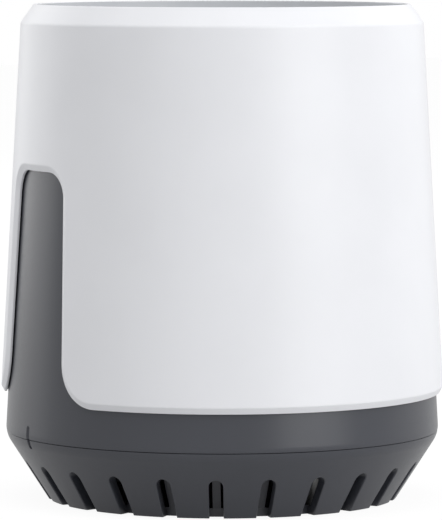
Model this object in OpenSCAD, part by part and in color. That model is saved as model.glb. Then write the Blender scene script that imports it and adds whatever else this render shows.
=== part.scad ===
// Tipping-bucket rain sensor: white collector, grey barrel and a slotted grey base with the works inside.
// Millimetres, +Z up, origin at the centre of the underside. The two thumb notches lie on the X axis.

/* [Outside] */
// Overall height
height = 125; // [115:1:140]
// Reach of the flared skirt, from its foot to the parting line
skirt_flare = 10.54; // [9:0.01:11.5]
// Lean of the flared skirt, from the vertical
skirt_lean = 32.7; // [31:0.1:33.5]
// Outer radius where the barrel's line meets the parting line
barrel_foot_r = 54.94; // [54:0.01:57]
// Draft of the barrel and the collector, from the vertical
draft = 3.23; // [2.8:0.01:3.5]
// Radius of the rounding between skirt and barrel
knee_r = 6.65; // [4:0.05:7]
// Height of the parting line between base and barrel
parting_z = 17.1; // [16.8:0.1:17.5]
// Width of the gap at the parting line
parting_gap = 0.3; // [0.2:0.05:0.5]
// Wall of the barrel
barrel_wall = 1.6; // [1.2:0.1:1.8]
// Depth of the barrel's top edge below the lip
barrel_drop = 23; // [21:1:27]
// Width of the alignment mark
mark_w = 1.1; // [0.6:0.1:2]
// Depth of the alignment mark
mark_depth = 0.45; // [0.2:0.05:0.7]
// Reach of the alignment mark above the parting line
mark_up = 3.3; // [2:0.1:5]
// Reach of the alignment mark below the parting line
mark_down = 2.2; // [1:0.1:3]

/* [Base] */
// Thickness of the floor
floor_t = 2.1; // [1.8:0.1:2.4]
// Wall of the skirt, measured level
skirt_wall = 3.2; // [2.6:0.1:3.4]
// Number of drain slots
slot_count = 24; // [20:1:28]
// Width of a drain slot
slot_w = 3.5; // [2.5:0.1:4]
// Height of the round top of a slot
slot_top_z = 10.15; // [9:0.1:11]
// Width of the baffle rib behind each slot
baffle_w = 2; // [1.4:0.1:2.6]
// Depth of the baffle rib
baffle_depth = 1.6; // [1.2:0.1:1.8]
// Gap between the skirt and the baffle rib
baffle_gap = 1.2; // [0.8:0.1:1.4]
// Gap between the spigot's top edge and the barrel
spigot_gap = 0.4; // [0.3:0.05:0.6]
// Wall of the spigot
spigot_wall = 2; // [1.6:0.1:2.2]
// Height of the spigot's top edge
spigot_top_z = 26.5; // [26:0.5:30]
// Height of the ledge that the chassis rests on
ledge_z = 17; // [16.5:0.1:17.5]
// Thickness of the ledge
ledge_t = 2; // [1.5:0.1:2.5]
// Width of the ledge
ledge_w = 3.4; // [3:0.1:4]
// Distance of the three fixing holes from the skirt's inner foot
fixing_inset = 6.2; // [5.5:0.1:7]
// Radius of a fixing hole
fixing_r = 1.6; // [1.2:0.1:1.8]
// Depth of a fixing hole
fixing_depth = 9.5; // [6:0.5:10]

/* [Bayonet] */
// Number of bayonet lugs
lug_count = 4; // [3:1:4]
// Width of a bayonet lug
lug_w = 4.6; // [3:0.1:5]
// Height of a bayonet lug
lug_h = 2; // [1.5:0.1:2.2]
// Height of the lug's middle
lug_z = 22; // [21.5:0.1:22.5]
// Reach of a lug into the spigot's track
lug_reach = 1.5; // [1:0.1:1.8]
// Turn from locked to free, in degrees
bayonet_turn = 18; // [14:1:20]
// Clearance round a lug in its track
lug_gap = 0.6; // [0.4:0.05:0.8]

/* [Collector] */
// Wall of the white shell
sleeve_wall = 1.5; // [1.2:0.05:1.8]
// Gap between the barrel and the white shell
sleeve_gap = 0.3; // [0.25:0.05:0.5]
// Height of the shell's bottom edge
sleeve_foot_z = 26.8; // [26.6:0.1:30]
// Depth of the bevel along the shell's cut edge
edge_depth = 0.95; // [0.5:0.05:1.1]
// Width of that bevel along the surface
edge_w = 1.6; // [1:0.05:2]
// Reach of the rim's bevel, level
rim_w = 3.3; // [2.8:0.05:3.8]
// Width of the flat lip
lip_w = 0.8; // [0.6:0.05:1]
// Height of the rim's bevel
rim_h = 4.6; // [4:0.1:5]
// Depth of the notch's top below the lip, at the cut
notch_drop = 41; // [37:0.5:47]
// Half width of the notch at its top, at the cut
notch_half_w = 12.65; // [11:0.05:14]
// Radius of the notch's upper corners, at the cut
notch_corner_r = 6.6; // [5:0.1:8]
// Flare of the notch's sides, from the vertical
notch_flare = 3.6; // [2:0.1:5]
// Radius of the shell's lower corners, at the cut
notch_foot_r = 11.3; // [8:0.1:13]

/* [Funnel] */
// Wall of the funnel
funnel_wall = 1.4; // [1.1:0.1:1.6]
// Depth of the funnel's seat below the lip
seat_depth = 3.8; // [3.5:0.1:4.2]
// Thickness of the funnel's flange
flange_t = 1.4; // [1.2:0.1:1.8]
// Reach of the funnel's flange past its wall
flange_reach = 0.7; // [0.5:0.05:0.8]
// Depth of the cone's upper edge below the lip
cone_depth = 13; // [12:0.5:14]
// Length of the spout
spout_l = 8; // [6:0.5:10]
// Inner radius of the spout
spout_r = 3.6; // [3.2:0.1:4]
// Gap between the spout and the level bucket's divider
spout_gap = 3; // [2.5:0.1:5]
// Number of feet that rest on the barrel's top edge
foot_count = 8; // [6:1:10]
// Thickness of such a foot
foot_t = 1.6; // [1.2:0.1:2]
// Width of such a foot
foot_w = 3; // [2.4:0.1:3.2]
// Radius of the leaf screen
screen_r = 14; // [12:0.5:16]
// Thickness of the leaf screen
screen_t = 1.4; // [1:0.1:1.8]
// Height of the leaf screen's cap
screen_dome = 3.5; // [2:0.5:4]
// Radius of the holes in the leaf screen
screen_hole_r = 1.05; // [0.8:0.05:1.2]
// Radius of the leaf screen's knob
knob_r = 2.4; // [2:0.1:3]
// Height of the leaf screen's knob above the cap
knob_h = 2.6; // [2:0.1:3]

/* [Bucket] */
// Height of the bucket's axle
axle_z = 33; // [32.5:0.5:34]
// Radius of the axle
axle_r = 1.25; // [1:0.05:1.5]
// Running clearance of the axle in its brackets
axle_gap = 0.05; // [0.03:0.01:0.09]
// Half length of the bucket
bucket_l = 34; // [32:0.5:35]
// Half width of the bucket
bucket_w = 11; // [9:0.1:11]
// Wall of the bucket
bucket_wall = 1.2; // [1:0.05:1.5]
// Rise of each chamber's floor, in degrees
bucket_rise = 12; // [10:0.5:13]
// Tilt of the bucket on either stop, in degrees
bucket_tilt = 20; // [18:0.5:20]
// Height of the divider above the axle
divider_h = 24; // [22:0.5:25]
// Height of the chamber floor above the axle at the divider
chamber_foot = 2; // [1.5:0.1:2.5]
// Height of the side walls' outer ends above the axle
side_end_h = 12; // [11:0.5:14]
// Radius of the axle's boss under the bucket
boss_r = 3; // [2.5:0.1:3.4]
// Gap between the bucket's boss and a bracket
bracket_gap = 0.3; // [0.2:0.05:0.4]
// Thickness of a bearing bracket
bracket_t = 2; // [1.6:0.1:2.2]
// Radius of a bracket's rounded top
bracket_r = 5; // [4:0.1:5.5]
// Radius of the magnet
magnet_r = 2.5; // [2:0.1:2.6]
// Length of the magnet
magnet_l = 2; // [1.5:0.1:2.2]
// Height of the magnet above the axle
magnet_h = 16; // [15:0.5:17]
// Distance of each stop screw from the axle
stop_x = 20.4; // [19:0.1:20.6]
// Radius of a stop screw's shank
stop_r = 1.5; // [1.2:0.1:1.6]

/* [Chassis] */
// Thickness of the chassis
chassis_t = 2; // [1.6:0.1:2.4]
// Gap between the chassis and the spigot
chassis_gap = 0.3; // [0.2:0.05:0.5]
// Distance of each drain's seat from the chassis's edge
drain_inset = 3.1; // [2.8:0.1:3.6]
// Radius of a drain
drain_r = 9.6; // [8:0.1:10]
// Width of the seat round a drain
drain_seat = 1.4; // [1:0.1:1.6]
// Thickness of a drain screen
drain_screen_t = 1; // [0.8:0.1:1.2]
// Distance of the bubble level from the chassis's edge
level_inset = 8.1; // [6:0.1:10]
// Radius of the bubble level
level_r = 8; // [7:0.1:8.5]
// Height of the bubble level
level_h = 7; // [6:0.1:8]

/* [Electronics] */
// Gap between the case's side wall and the switch
case_side_gap = 2.6; // [2.2:0.1:2.8]
// Gap between the case's round back and the skirt's inner foot
case_inset = 1; // [0.8:0.1:1.4]
// Wall of the case
case_wall = 1.8; // [1.4:0.1:1.8]
// Gap between the case's cover and the rear bracket
case_stand = 0.7; // [0.5:0.05:0.8]
// Gap between the case's top and a straight line from the spout to the cone's upper edge
case_headroom = 5.3; // [4:0.1:6]
// Thickness of the case's cover
cover_t = 1.8; // [1.4:0.1:1.9]
// Thickness of the seals
seal_t = 0.8; // [0.6:0.05:0.8]
// Radius of a cell
cell_r = 7.25; // [7:0.05:7.3]
// Length of a cell without its nub
cell_l = 49.5; // [48:0.5:50]
// Distance between the cells
cell_pitch = 15.5; // [15:0.1:15.6]
// Gap between the cells and the circuit board
cell_gap = 0.35; // [0.25:0.05:0.55]
// Sideways shift of the pair of cells
cell_shift = 1.5; // [1:0.1:2]
// Thickness of the circuit board
board_t = 1.6; // [1:0.1:1.6]
// Gap between the circuit board's edges and the cover's screw bosses
board_side_gap = 0.4; // [0.2:0.05:0.8]
// Gap between the case's front and the circuit board
board_gap = 1.4; // [1.3:0.05:1.5]
// Radius of the door's ends
door_r = 8.1; // [8:0.05:8.2]
// Thickness of the door
door_t = 1; // [0.8:0.05:1.1]
// Gap round the door
door_gap = 0.3; // [0.2:0.05:0.35]
// Land between the button's hole and the left cell's hole
button_land = 2.2; // [2:0.05:2.5]
// Radius of the button
button_r = 2.3; // [2:0.05:2.35]
// Travel of the button
button_travel = 0.8; // [0.5:0.1:0.8]

/* [Hidden] */
$fn = 96;
// Overrun of every cutter past the face it cuts
over = 1;
// Facets of small rounds
small_fn = 32;
// Steps along a rounding
knee_steps = 8;
corner_steps = 9;

// Colours of the mouldings and fittings
white = "#e9ebee";
grey = "#4d4f52";
dark = "#303234";
steel = "#b9bcc0";
gold = "#c8a24a";

// Outside line of base and barrel
skirt_foot_r = barrel_foot_r - skirt_flare;
barrel_zero_r = barrel_foot_r + parting_z * tan(draft);
knee_z = (barrel_zero_r - skirt_foot_r) / (tan(skirt_lean) + tan(draft));
knee_run = knee_r * tan((skirt_lean + draft) / 2);
knee_low_z = knee_z - knee_run * cos(skirt_lean);
knee_high_z = knee_z + knee_run * cos(draft);
knee_centre_r = skirt_foot_r + knee_low_z * tan(skirt_lean) - knee_r * cos(skirt_lean);
knee_centre_z = knee_low_z + knee_r * sin(skirt_lean);

function skirt_at(z) = skirt_foot_r + z * tan(skirt_lean);
function barrel_at(z) = barrel_zero_r - z * tan(draft);
function knee_at(z) = knee_centre_r + sqrt(knee_r * knee_r - (z - knee_centre_z) * (z - knee_centre_z));
function outside_at(z) = z < knee_low_z ? skirt_at(z) : z > knee_high_z ? barrel_at(z) : knee_at(z);
function steps(low, high, count) = [for (i = [0:count]) low + (high - low) * i / count];

base_top_z = parting_z - parting_gap / 2;
barrel_bottom_z = parting_z + parting_gap / 2;
barrel_top_z = height - barrel_drop;

// The white shell lies round the barrel
function sleeve_at(z) = barrel_at(z) + sleeve_gap + sleeve_wall;
function sleeve_in(z) = barrel_at(z) + sleeve_gap;
rim_z = height - rim_h;
seat_z = height - seat_depth;
cone_z = height - cone_depth;
notch_top_z = height - notch_drop;
lip_r = sleeve_at(rim_z) - rim_w;
mouth_r = lip_r - lip_w;
seat_r = mouth_r + funnel_wall + flange_reach;

// The spout ends just above the bucket
spout_z = axle_z + divider_h + spout_gap;
throat_z = spout_z + spout_l;

// Points down the outside, moved in by inset
function base_line(inset) = concat([[skirt_foot_r - inset, 0]],
    [for (z = steps(knee_low_z, base_top_z, knee_steps)) [outside_at(z) - inset, z]]);
function barrel_line(inset, top_z) = concat(
    [for (z = steps(barrel_bottom_z, knee_high_z, knee_steps)) [outside_at(z) - inset, z]],
    [[barrel_at(top_z) - inset, top_z]]);

// A bar along Z that stands on z = low, centred on x and y
module bar(w, d, low, high) {
    translate([-w / 2, -d / 2, low]) cube([w, d, high - low]);
}

module post(r, low, high, fn = small_fn) {
    translate([0, 0, low]) cylinder(r = r, h = high - low, $fn = fn);
}

// A round bar along Y from y = near to y = far
module rod_y(r, near, far, fn = small_fn) {
    translate([0, near, 0]) rotate([-90, 0, 0]) cylinder(r = r, h = far - near, $fn = fn);
}

// A flat shape with two round ends at left and right, both at y
module two_ends(r, left, right, y) {
    translate([left, y]) circle(r = r);
    translate([right, y]) circle(r = r);
    translate([left, y - r]) square([right - left, 2 * r]);
}

// The alignment mark, cut into the outside line between two heights
module mark_cutter(low, high) {
    intersection() {
        translate([-barrel_zero_r - over, -mark_w / 2, low]) cube([skirt_wall + over, mark_w, high - low]);
        difference() {
            cylinder(r = barrel_zero_r + over, h = high + over);
            rotate_extrude() polygon(concat([[0, -over], [skirt_foot_r - mark_depth, -over]],
                [for (z = steps(knee_low_z, knee_high_z, knee_steps)) [outside_at(z) - mark_depth, z]],
                [[barrel_at(height) - mark_depth, height], [0, height]]));
        }
    }
}

// Base

spigot_r = barrel_at(spigot_top_z) - barrel_wall - spigot_gap;
spigot_in_r = spigot_r - spigot_wall;
ledge_in_r = spigot_in_r - ledge_w;
ledge_low_z = ledge_z - ledge_t;
skirt_in_foot_r = skirt_foot_r - skirt_wall;
fixing_ring_r = skirt_in_foot_r - fixing_inset;
fixing_boss_r = fixing_r + baffle_w;
fixing_boss_z = fixing_depth + ledge_t;
fixing_angles = [30, 150, 270];
deck_screw_r = 1.2;
deck_screw_boss_r = deck_screw_r + spigot_wall - door_gap;
deck_screw_ring_r = ledge_in_r - deck_screw_r + spigot_wall / 2 - chassis_gap;
deck_screw_depth = 3.4;
// Left under a blind screw hole, and free ahead of a screw's tip
blind_rest = 0.5;
deck_screw_boss_z = ledge_z - deck_screw_depth - blind_rest;
deck_screw_angles = [37.5, 142.5, 217.5, 322.5];
// Half angle of the rear stretch where the case stands in for the baffles
baffle_free_angle = 36;
door_hole_r = door_r + door_gap;
door_recess = door_t + door_gap;
cell_x_left = cell_shift - cell_pitch / 2;
cell_x_right = cell_shift + cell_pitch / 2;
cell_hole_r = cell_r + door_gap;
door_screw_r = 1;
door_screw_head_r = 1.9;
door_screw_wall = 1.5;
door_screw_boss_r = door_screw_r + door_screw_wall;
door_screw_boss_z = 8;
door_screw_x = cell_x_right + cell_hole_r + door_screw_r + spigot_wall - door_gap;
door_right_x = door_screw_x + door_screw_head_r + door_t - door_r;
button_hole_r = button_r + door_gap;
button_x = cell_hole_r - cell_x_left + button_hole_r + button_land;
// Distance of the button and of the light pipe behind the circuit board
button_behind = 2.5;
pipe_behind = 10.5;
button_stem_h = 1.6;
switch_w = 6;
switch_d = 5.4;
switch_h = 3.4;
actuator_h = 0.6;
pipe_r = 1.2;
pipe_gap = 0.1;

// Where the works stand, counted back from the bucket
boss_stand = 0.4;
bracket_y = bucket_w + boss_stand + bracket_gap;
cover_front_y = bracket_y + bracket_t + case_stand;
case_y = cover_front_y + cover_t + seal_t;
case_r = skirt_in_foot_r - case_inset;
case_w = button_x + switch_w / 2 + case_side_gap + case_wall;
board_front_y = case_y + board_gap;
board_back_y = board_front_y + board_t;
cell_y = board_back_y + cell_gap + cell_r;
button_y = board_back_y + button_behind;
pipe_y = board_back_y + pipe_behind;

// One drain slot through the skirt, on the -X side
module slot_cutter() {
    reach = barrel_zero_r - skirt_in_foot_r;
    translate([-barrel_zero_r, -slot_w / 2, -over])
        cube([reach, slot_w, slot_top_z - slot_w / 2 + over]);
    translate([-barrel_zero_r, 0, slot_top_z - slot_w / 2])
        rotate([0, 90, 0]) cylinder(r = slot_w / 2, h = reach, $fn = small_fn);
}

// The rib behind one slot, leaning with the skirt, on the -X side
module baffle() {
    foot_r = skirt_at(floor_t) - skirt_wall - baffle_gap;
    head_r = skirt_at(ledge_low_z) - skirt_wall - baffle_gap;
    sink = ledge_t / 4;
    rotate([0, 0, 180]) rotate([90, 0, 0]) translate([0, 0, -baffle_w / 2]) linear_extrude(baffle_w)
        polygon([
            [foot_r - baffle_depth, floor_t - sink], [foot_r, floor_t - sink], [foot_r, floor_t],
            [head_r, ledge_low_z], [head_r, ledge_low_z + sink],
            [head_r - baffle_depth, ledge_low_z + sink], [head_r - baffle_depth, ledge_low_z],
            [foot_r - baffle_depth, floor_t]]);
}

// The L-shaped track of one lug: a level run and the entry up to the spigot's top edge
module bayonet_track() {
    half_run = spigot_r * sin(bayonet_turn / 2) + lug_w / 2 + lug_gap;
    low = lug_z - lug_h / 2 - lug_gap;
    high = lug_z + lug_h / 2 + lug_gap;
    rotate([0, 0, bayonet_turn / 2]) translate([spigot_in_r - spigot_wall, -half_run, low])
        cube([2 * spigot_wall + over, 2 * half_run, high - low]);
    rotate([0, 0, bayonet_turn]) translate([spigot_in_r - over, -lug_w / 2 - lug_gap, low])
        cube([spigot_wall + 2 * over, lug_w + 2 * lug_gap, spigot_top_z + over - low]);
}

// The moulding before the baffles go in behind its slots
module base_shell() difference() {
    union() {
        rotate_extrude() polygon(concat([[0, 0]], base_line(0), [
            [spigot_r, base_top_z], [spigot_r, spigot_top_z], [spigot_in_r, spigot_top_z],
            [spigot_in_r, ledge_z], [ledge_in_r, ledge_z], [ledge_in_r, ledge_low_z],
            [skirt_at(ledge_low_z) - skirt_wall, ledge_low_z],
            [skirt_at(floor_t) - skirt_wall, floor_t], [0, floor_t]]));
        for (a = fixing_angles) rotate([0, 0, a])
            translate([fixing_ring_r, 0, 0]) post(fixing_boss_r, floor_t / 2, fixing_boss_z);
        for (a = deck_screw_angles) rotate([0, 0, a])
            translate([deck_screw_ring_r, 0, 0]) post(deck_screw_boss_r, deck_screw_boss_z, ledge_z);
        translate([door_screw_x, cell_y, 0]) post(door_screw_boss_r, floor_t / 2, door_screw_boss_z);
    }
    for (i = [0:slot_count - 1]) rotate([0, 0, i * 360 / slot_count]) slot_cutter();
    for (a = fixing_angles) rotate([0, 0, a])
        translate([fixing_ring_r, 0, 0]) post(fixing_r, -over, fixing_depth);
    for (a = deck_screw_angles) rotate([0, 0, a])
        translate([deck_screw_ring_r, 0, 0]) post(deck_screw_r, ledge_z - deck_screw_depth, ledge_z + over);
    for (i = [0:lug_count - 1]) rotate([0, 0, (i + 0.5) * 360 / lug_count]) bayonet_track();
    translate([0, 0, -over]) linear_extrude(door_recess + over)
        two_ends(door_hole_r, cell_x_left, door_right_x, cell_y);
    translate([0, 0, -over]) linear_extrude(floor_t + 2 * over)
        two_ends(cell_hole_r, cell_x_left, cell_x_right, cell_y);
    translate([door_screw_x, cell_y, 0]) post(door_screw_r + axle_gap, -over, door_screw_boss_z + over);
    translate([-button_x, button_y, 0]) post(button_hole_r, -over, floor_t + over);
    translate([-button_x, pipe_y, 0]) post(pipe_r + pipe_gap, -over, floor_t + over);
    mark_cutter(parting_z - mark_down, parting_z);
}

module base() color(grey) {
    base_shell();
    for (i = [0:slot_count - 1]) {
        turn = i * 360 / slot_count;
        // The case stands behind the slots near +Y, which is 270 degrees on from -X
        if (abs(turn - 270) > baffle_free_angle) rotate([0, 0, turn]) baffle();
    }
}

// Chassis with its drains, screens and screws

chassis_top_z = ledge_z + chassis_t;
chassis_r = spigot_in_r - chassis_gap;
drain_step_z = chassis_top_z - drain_screen_t;
stop_post_r = stop_r + bucket_wall;
stop_post_top_z = chassis_top_z + chassis_t + ledge_t;
level_wall = 1.2;
level_y = chassis_r - level_r - level_inset;
drain_x = chassis_r - drain_r - drain_seat - drain_inset;
drain_hole_r = 0.9;
drain_hole_pitch = 2.9;
bracket_foot_w = 18;
bracket_foot_t = 2;
bracket_foot_in = 6;
bracket_screw_r = 1;
bracket_screw_x = 6.5;
bracket_screw_y = bracket_y - bracket_foot_in / 2;
screw_depth = 3.6;
screw_head_h = 1.6;
screw_head_share = 1.9;
case_clear = 0.3;

// Outline of the case, moved out by grow; front is its front face
module case_outline(grow, front) {
    intersection() {
        circle(r = case_r + grow);
        translate([-case_w - grow, front]) square([2 * (case_w + grow), case_r + grow]);
    }
}
module drain_cutters() {
    for (side = [-1, 1]) translate([side * drain_x, 0, 0]) {
        post(drain_r, ledge_low_z, chassis_top_z + over, 48);
        post(drain_r + drain_seat + pipe_gap, drain_step_z, chassis_top_z + over, 48);
    }
}

module chassis() color(dark) difference() {
    union() {
        post(chassis_r, ledge_z, chassis_top_z, 96);
        for (side = [-1, 1]) translate([side * stop_x, 0, 0])
            post(stop_post_r, ledge_z, stop_post_top_z);
    }
    drain_cutters();
    translate([0, 0, ledge_low_z]) linear_extrude(ledge_t + chassis_t + over)
        case_outline(case_clear, cover_front_y - case_clear);
    for (side = [-1, 1]) translate([side * stop_x, 0, 0])
        post(stop_r, ledge_low_z, stop_post_top_z + over);
    for (a = deck_screw_angles) rotate([0, 0, a])
        translate([deck_screw_ring_r, 0, 0]) post(deck_screw_r + axle_gap, ledge_low_z, chassis_top_z + over);
    for (x = [-1, 1], y = [-1, 1]) translate([x * bracket_screw_x, y * bracket_screw_y, 0])
        post(bracket_screw_r, ledge_low_z, chassis_top_z + over);
}

// A round screen with rings of holes
module drain_screen() {
    difference() {
        post(drain_r + drain_seat, drain_step_z, chassis_top_z, 48);
        for (ring = [0:2], i = [0:max(0, 6 * ring - 1)])
            rotate([0, 0, i * 60 / max(1, ring)]) translate([ring * drain_hole_pitch, 0, 0])
                post(drain_hole_r, ledge_low_z, chassis_top_z + over, 16);
    }
}
module drain_screen_left() color(steel) translate([-drain_x, 0, 0]) drain_screen();
module drain_screen_right() color(steel) translate([drain_x, 0, 0]) drain_screen();

// A pan-head screw that points down, with its head seated at z = seat
module screw(r, depth, seat) {
    head_r = r * screw_head_share;
    slot = r / 2;
    difference() {
        union() {
            post(r, seat - depth, seat + screw_head_h / 2);
            post(head_r, seat, seat + screw_head_h);
        }
        bar(slot, 2 * head_r + over, seat + screw_head_h / 2, seat + screw_head_h + over);
        bar(2 * head_r + over, slot, seat + screw_head_h / 2, seat + screw_head_h + over);
    }
}

module chassis_screws() color(steel) for (a = deck_screw_angles) rotate([0, 0, a])
    translate([deck_screw_ring_r, 0, 0]) screw(deck_screw_r, chassis_t + deck_screw_depth - blind_rest, chassis_top_z);

// The bracket in front of the bucket; the rear one is its mirror image
module bearing_bracket() {
    foot_top_z = chassis_top_z + bracket_foot_t;
    difference() {
        union() {
            translate([-bracket_r, -bracket_y - bracket_t, chassis_top_z])
                cube([2 * bracket_r, bracket_t, axle_z - chassis_top_z]);
            translate([0, 0, axle_z]) rod_y(bracket_r, -bracket_y - bracket_t, -bracket_y, 48);
            translate([-bracket_foot_w / 2, -bracket_y - bracket_t, chassis_top_z])
                cube([bracket_foot_w, bracket_t + bracket_foot_in, bracket_foot_t]);
            // Two short gussets on the inner side
            for (side = [-1, 1])
                translate([side * (bracket_r - bracket_t / 2), (bracket_foot_in - bracket_t) / 4 - bracket_y, 0])
                    bar(bracket_t / 2, (bracket_foot_in + bracket_t) / 2,
                        foot_top_z - bracket_t / 4, foot_top_z + bracket_t);
        }
        translate([0, 0, axle_z]) rod_y(axle_r + axle_gap, -bracket_y - bracket_t - over, over - bracket_y, 48);
        for (side = [-1, 1]) translate([side * bracket_screw_x, -bracket_screw_y, 0])
            post(bracket_screw_r + axle_gap, ledge_z, foot_top_z + over);
    }
}
module bearing_bracket_front() color(white) bearing_bracket();
module bearing_bracket_rear() color(white) mirror([0, 1, 0]) bearing_bracket();

module bracket_screws() color(steel) for (x = [-1, 1], y = [-1, 1])
    translate([x * bracket_screw_x, y * bracket_screw_y, 0])
        screw(bracket_screw_r, bracket_foot_t + chassis_t, chassis_top_z + bracket_foot_t);

// Bucket, drawn level about its axle and tipped onto its left stop

floor_drop = bucket_wall / cos(bucket_rise);
end_floor_h = chamber_foot + bucket_l * tan(bucket_rise);
stop_floor_h = chamber_foot - floor_drop + stop_x * tan(bucket_rise);
stop_clear = 0.2;
stop_hex_share = 1.6;
// Half width of the flat crest of the bucket's sides, in walls
crest_share = 3;
stop_tip_z = axle_z - stop_x * sin(bucket_tilt) + stop_floor_h * cos(bucket_tilt)
    - (stop_floor_h * sin(bucket_tilt)) * tan(bucket_tilt - bucket_rise) - stop_clear;
magnet_boss_r = magnet_r + bucket_wall - axle_gap;

module tipped(angle) translate([0, 0, axle_z]) rotate([0, -angle, 0]) children();

module bucket_side() {
    crest = bucket_wall * crest_share;
    polygon([
        [-bucket_l, side_end_h], [-crest, divider_h], [crest, divider_h], [bucket_l, side_end_h],
        [bucket_l, end_floor_h - floor_drop], [0, chamber_foot - floor_drop],
        [-bucket_l, end_floor_h - floor_drop]]);
}

module bucket_hollow() {
    for (side = [0, 1]) mirror([side, 0]) polygon([
        [bucket_wall / 2, chamber_foot], [bucket_l + over, end_floor_h + over * tan(bucket_rise)],
        [bucket_l + over, divider_h + over], [bucket_wall / 2, divider_h + over]]);
}

module bucket_solid() {
    rotate([90, 0, 0]) difference() {
        union() {
            translate([0, 0, -bucket_w]) linear_extrude(2 * bucket_w) bucket_side();
            translate([0, 0, -bucket_w - boss_stand])
                cylinder(r = boss_r, h = 2 * (bucket_w + boss_stand), $fn = 48);
            translate([0, magnet_h, -bucket_w - magnet_l - boss_stand])
                cylinder(r = magnet_boss_r, h = magnet_l + boss_stand + bucket_wall, $fn = 48);
        }
        translate([0, 0, -bucket_w + bucket_wall]) linear_extrude(2 * (bucket_w - bucket_wall)) bucket_hollow();
        translate([0, 0, -bucket_w - boss_stand - over])
            cylinder(r = axle_r, h = 2 * (bucket_w + boss_stand + over), $fn = 48);
        translate([0, magnet_h, -bucket_w - magnet_l - boss_stand - over])
            cylinder(r = magnet_r + axle_gap, h = magnet_l + over, $fn = 48);
    }
}
module bucket() color(dark) tipped(bucket_tilt) bucket_solid();

module bucket_axle() color(steel) translate([0, 0, axle_z])
    rod_y(axle_r, -bracket_y - bracket_t + bracket_gap, bracket_y + bracket_t - bracket_gap, 48);

module bucket_magnet() color(steel) tipped(bucket_tilt) translate([0, 0, magnet_h])
    rod_y(magnet_r, bucket_w + boss_stand, bucket_w + boss_stand + magnet_l);

module stop_screws() color(gold) for (side = [-1, 1]) translate([side * stop_x, 0, 0]) difference() {
    hex_r = stop_r * stop_hex_share;
    union() {
        post(stop_r, ledge_z - ledge_t, stop_tip_z);
        translate([0, 0, stop_post_top_z]) cylinder(r = hex_r, h = stop_r, $fn = 6);
    }
    translate([0, 0, ledge_z - ledge_t]) bar(2 * stop_r + over, stop_r / 3, -over, stop_r / 2);
}

// Electronics case behind the bucket

// The case's top stays under the straight line from the spout's foot to the cone's upper edge
case_top_z = spout_z + (cover_front_y - spout_r - funnel_wall) * (cone_z - spout_z) / (mouth_r - spout_r)
    - case_headroom;
case_foot_z = floor_t + seal_t;
case_ceiling_z = case_top_z - case_wall;
case_flange_t = ledge_t;
case_flange_w = 1.4;
gasket_in_w = case_w - case_wall - seal_t;
cover_screw_r = 1;
cover_screw_x = case_w - case_wall - door_screw_head_r + pipe_gap;
cover_screw_low_z = chassis_top_z + 2.5 * ledge_t;
cover_screw_high_z = case_ceiling_z - screw_depth + case_wall;
cover_screw_boss_l = 7;
cover_screw_boss_r = cover_screw_r + pipe_r - 2 * pipe_gap;
board_low_z = 8;
board_high_z = case_ceiling_z - 1.4;
board_w = cover_screw_x - cover_screw_boss_r - board_side_gap;
reed_mark_h = 0.3;

module case_outside() {
    translate([0, 0, case_foot_z]) linear_extrude(case_top_z - case_foot_z) case_outline(0, case_y);
    translate([0, 0, ledge_z - case_flange_t]) linear_extrude(case_flange_t)
        case_outline(case_flange_w, case_y);
}

module cover_screw_places() {
    for (x = [-1, 1], z = [cover_screw_low_z, cover_screw_high_z])
        translate([x * cover_screw_x, 0, z]) children();
}

module electronics_case() color(grey) difference() {
    union() {
        difference() {
            case_outside();
            translate([0, 0, case_foot_z - over]) linear_extrude(case_ceiling_z - case_foot_z + over)
                case_outline(-case_wall, case_y - over);
        }
        intersection() {
            cover_screw_places() rod_y(cover_screw_boss_r, case_y, case_y + cover_screw_boss_l);
            case_outside();
        }
    }
    cover_screw_places() rod_y(cover_screw_r, case_y - over, case_y + cover_screw_boss_l - cover_screw_r);
}

// A flat frame across the open front of the case
module front_plate(near, far) {
    translate([-case_w, near, case_foot_z]) cube([2 * case_w, far - near, case_top_z - case_foot_z]);
}

module case_cover() color(grey) difference() {
    union() {
        front_plate(cover_front_y, case_y - seal_t);
        // Raised ring in front of the reed switch
        translate([0, 0, axle_z + magnet_h]) rod_y(magnet_r, cover_front_y - reed_mark_h, cover_front_y + axle_gap);
    }
    cover_screw_places() rod_y(cover_screw_r + pipe_gap, cover_front_y - over, case_y);
}

module cover_gasket() color("#222222") difference() {
    front_plate(case_y - seal_t, case_y);
    translate([-gasket_in_w, case_y - seal_t - over, case_foot_z + case_wall])
        cube([2 * gasket_in_w, seal_t + 2 * over, case_ceiling_z - case_foot_z - case_wall]);
    cover_screw_places() rod_y(cover_screw_r + pipe_gap, cover_front_y, case_y + over);
}

module case_foot_seal() color("#222222") translate([0, 0, floor_t]) linear_extrude(seal_t) difference() {
    case_outline(0, cover_front_y);
    case_outline(-case_wall, cover_front_y + cover_t + seal_t);
}

module cover_screws() color(steel) cover_screw_places()
    translate([0, cover_front_y, 0]) rotate([90, 0, 0]) screw(cover_screw_r, cover_t + seal_t + screw_depth, 0);

module circuit_board() color("#1f5a3a")
    translate([-board_w, board_front_y, board_low_z]) cube([2 * board_w, board_t, board_high_z - board_low_z]);

// A box on the board: side is 1 for its back, -1 for its front
module on_board(x, z, w, d, h, side) {
    y = side > 0 ? board_back_y : board_front_y - d;
    translate([x - w / 2, y, z - h / 2]) cube([w, d, h]);
}

// The radio sits on the board's front, above the reed switch
radio_w = 15;
radio_h = 8;
radio_t = 1.2;
radio_rise = 2;
radio_z = axle_z + magnet_h + radio_rise + radio_h / 2;
module radio_module() color(steel) on_board(0, radio_z, radio_w, radio_t, radio_h, -1);

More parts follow.
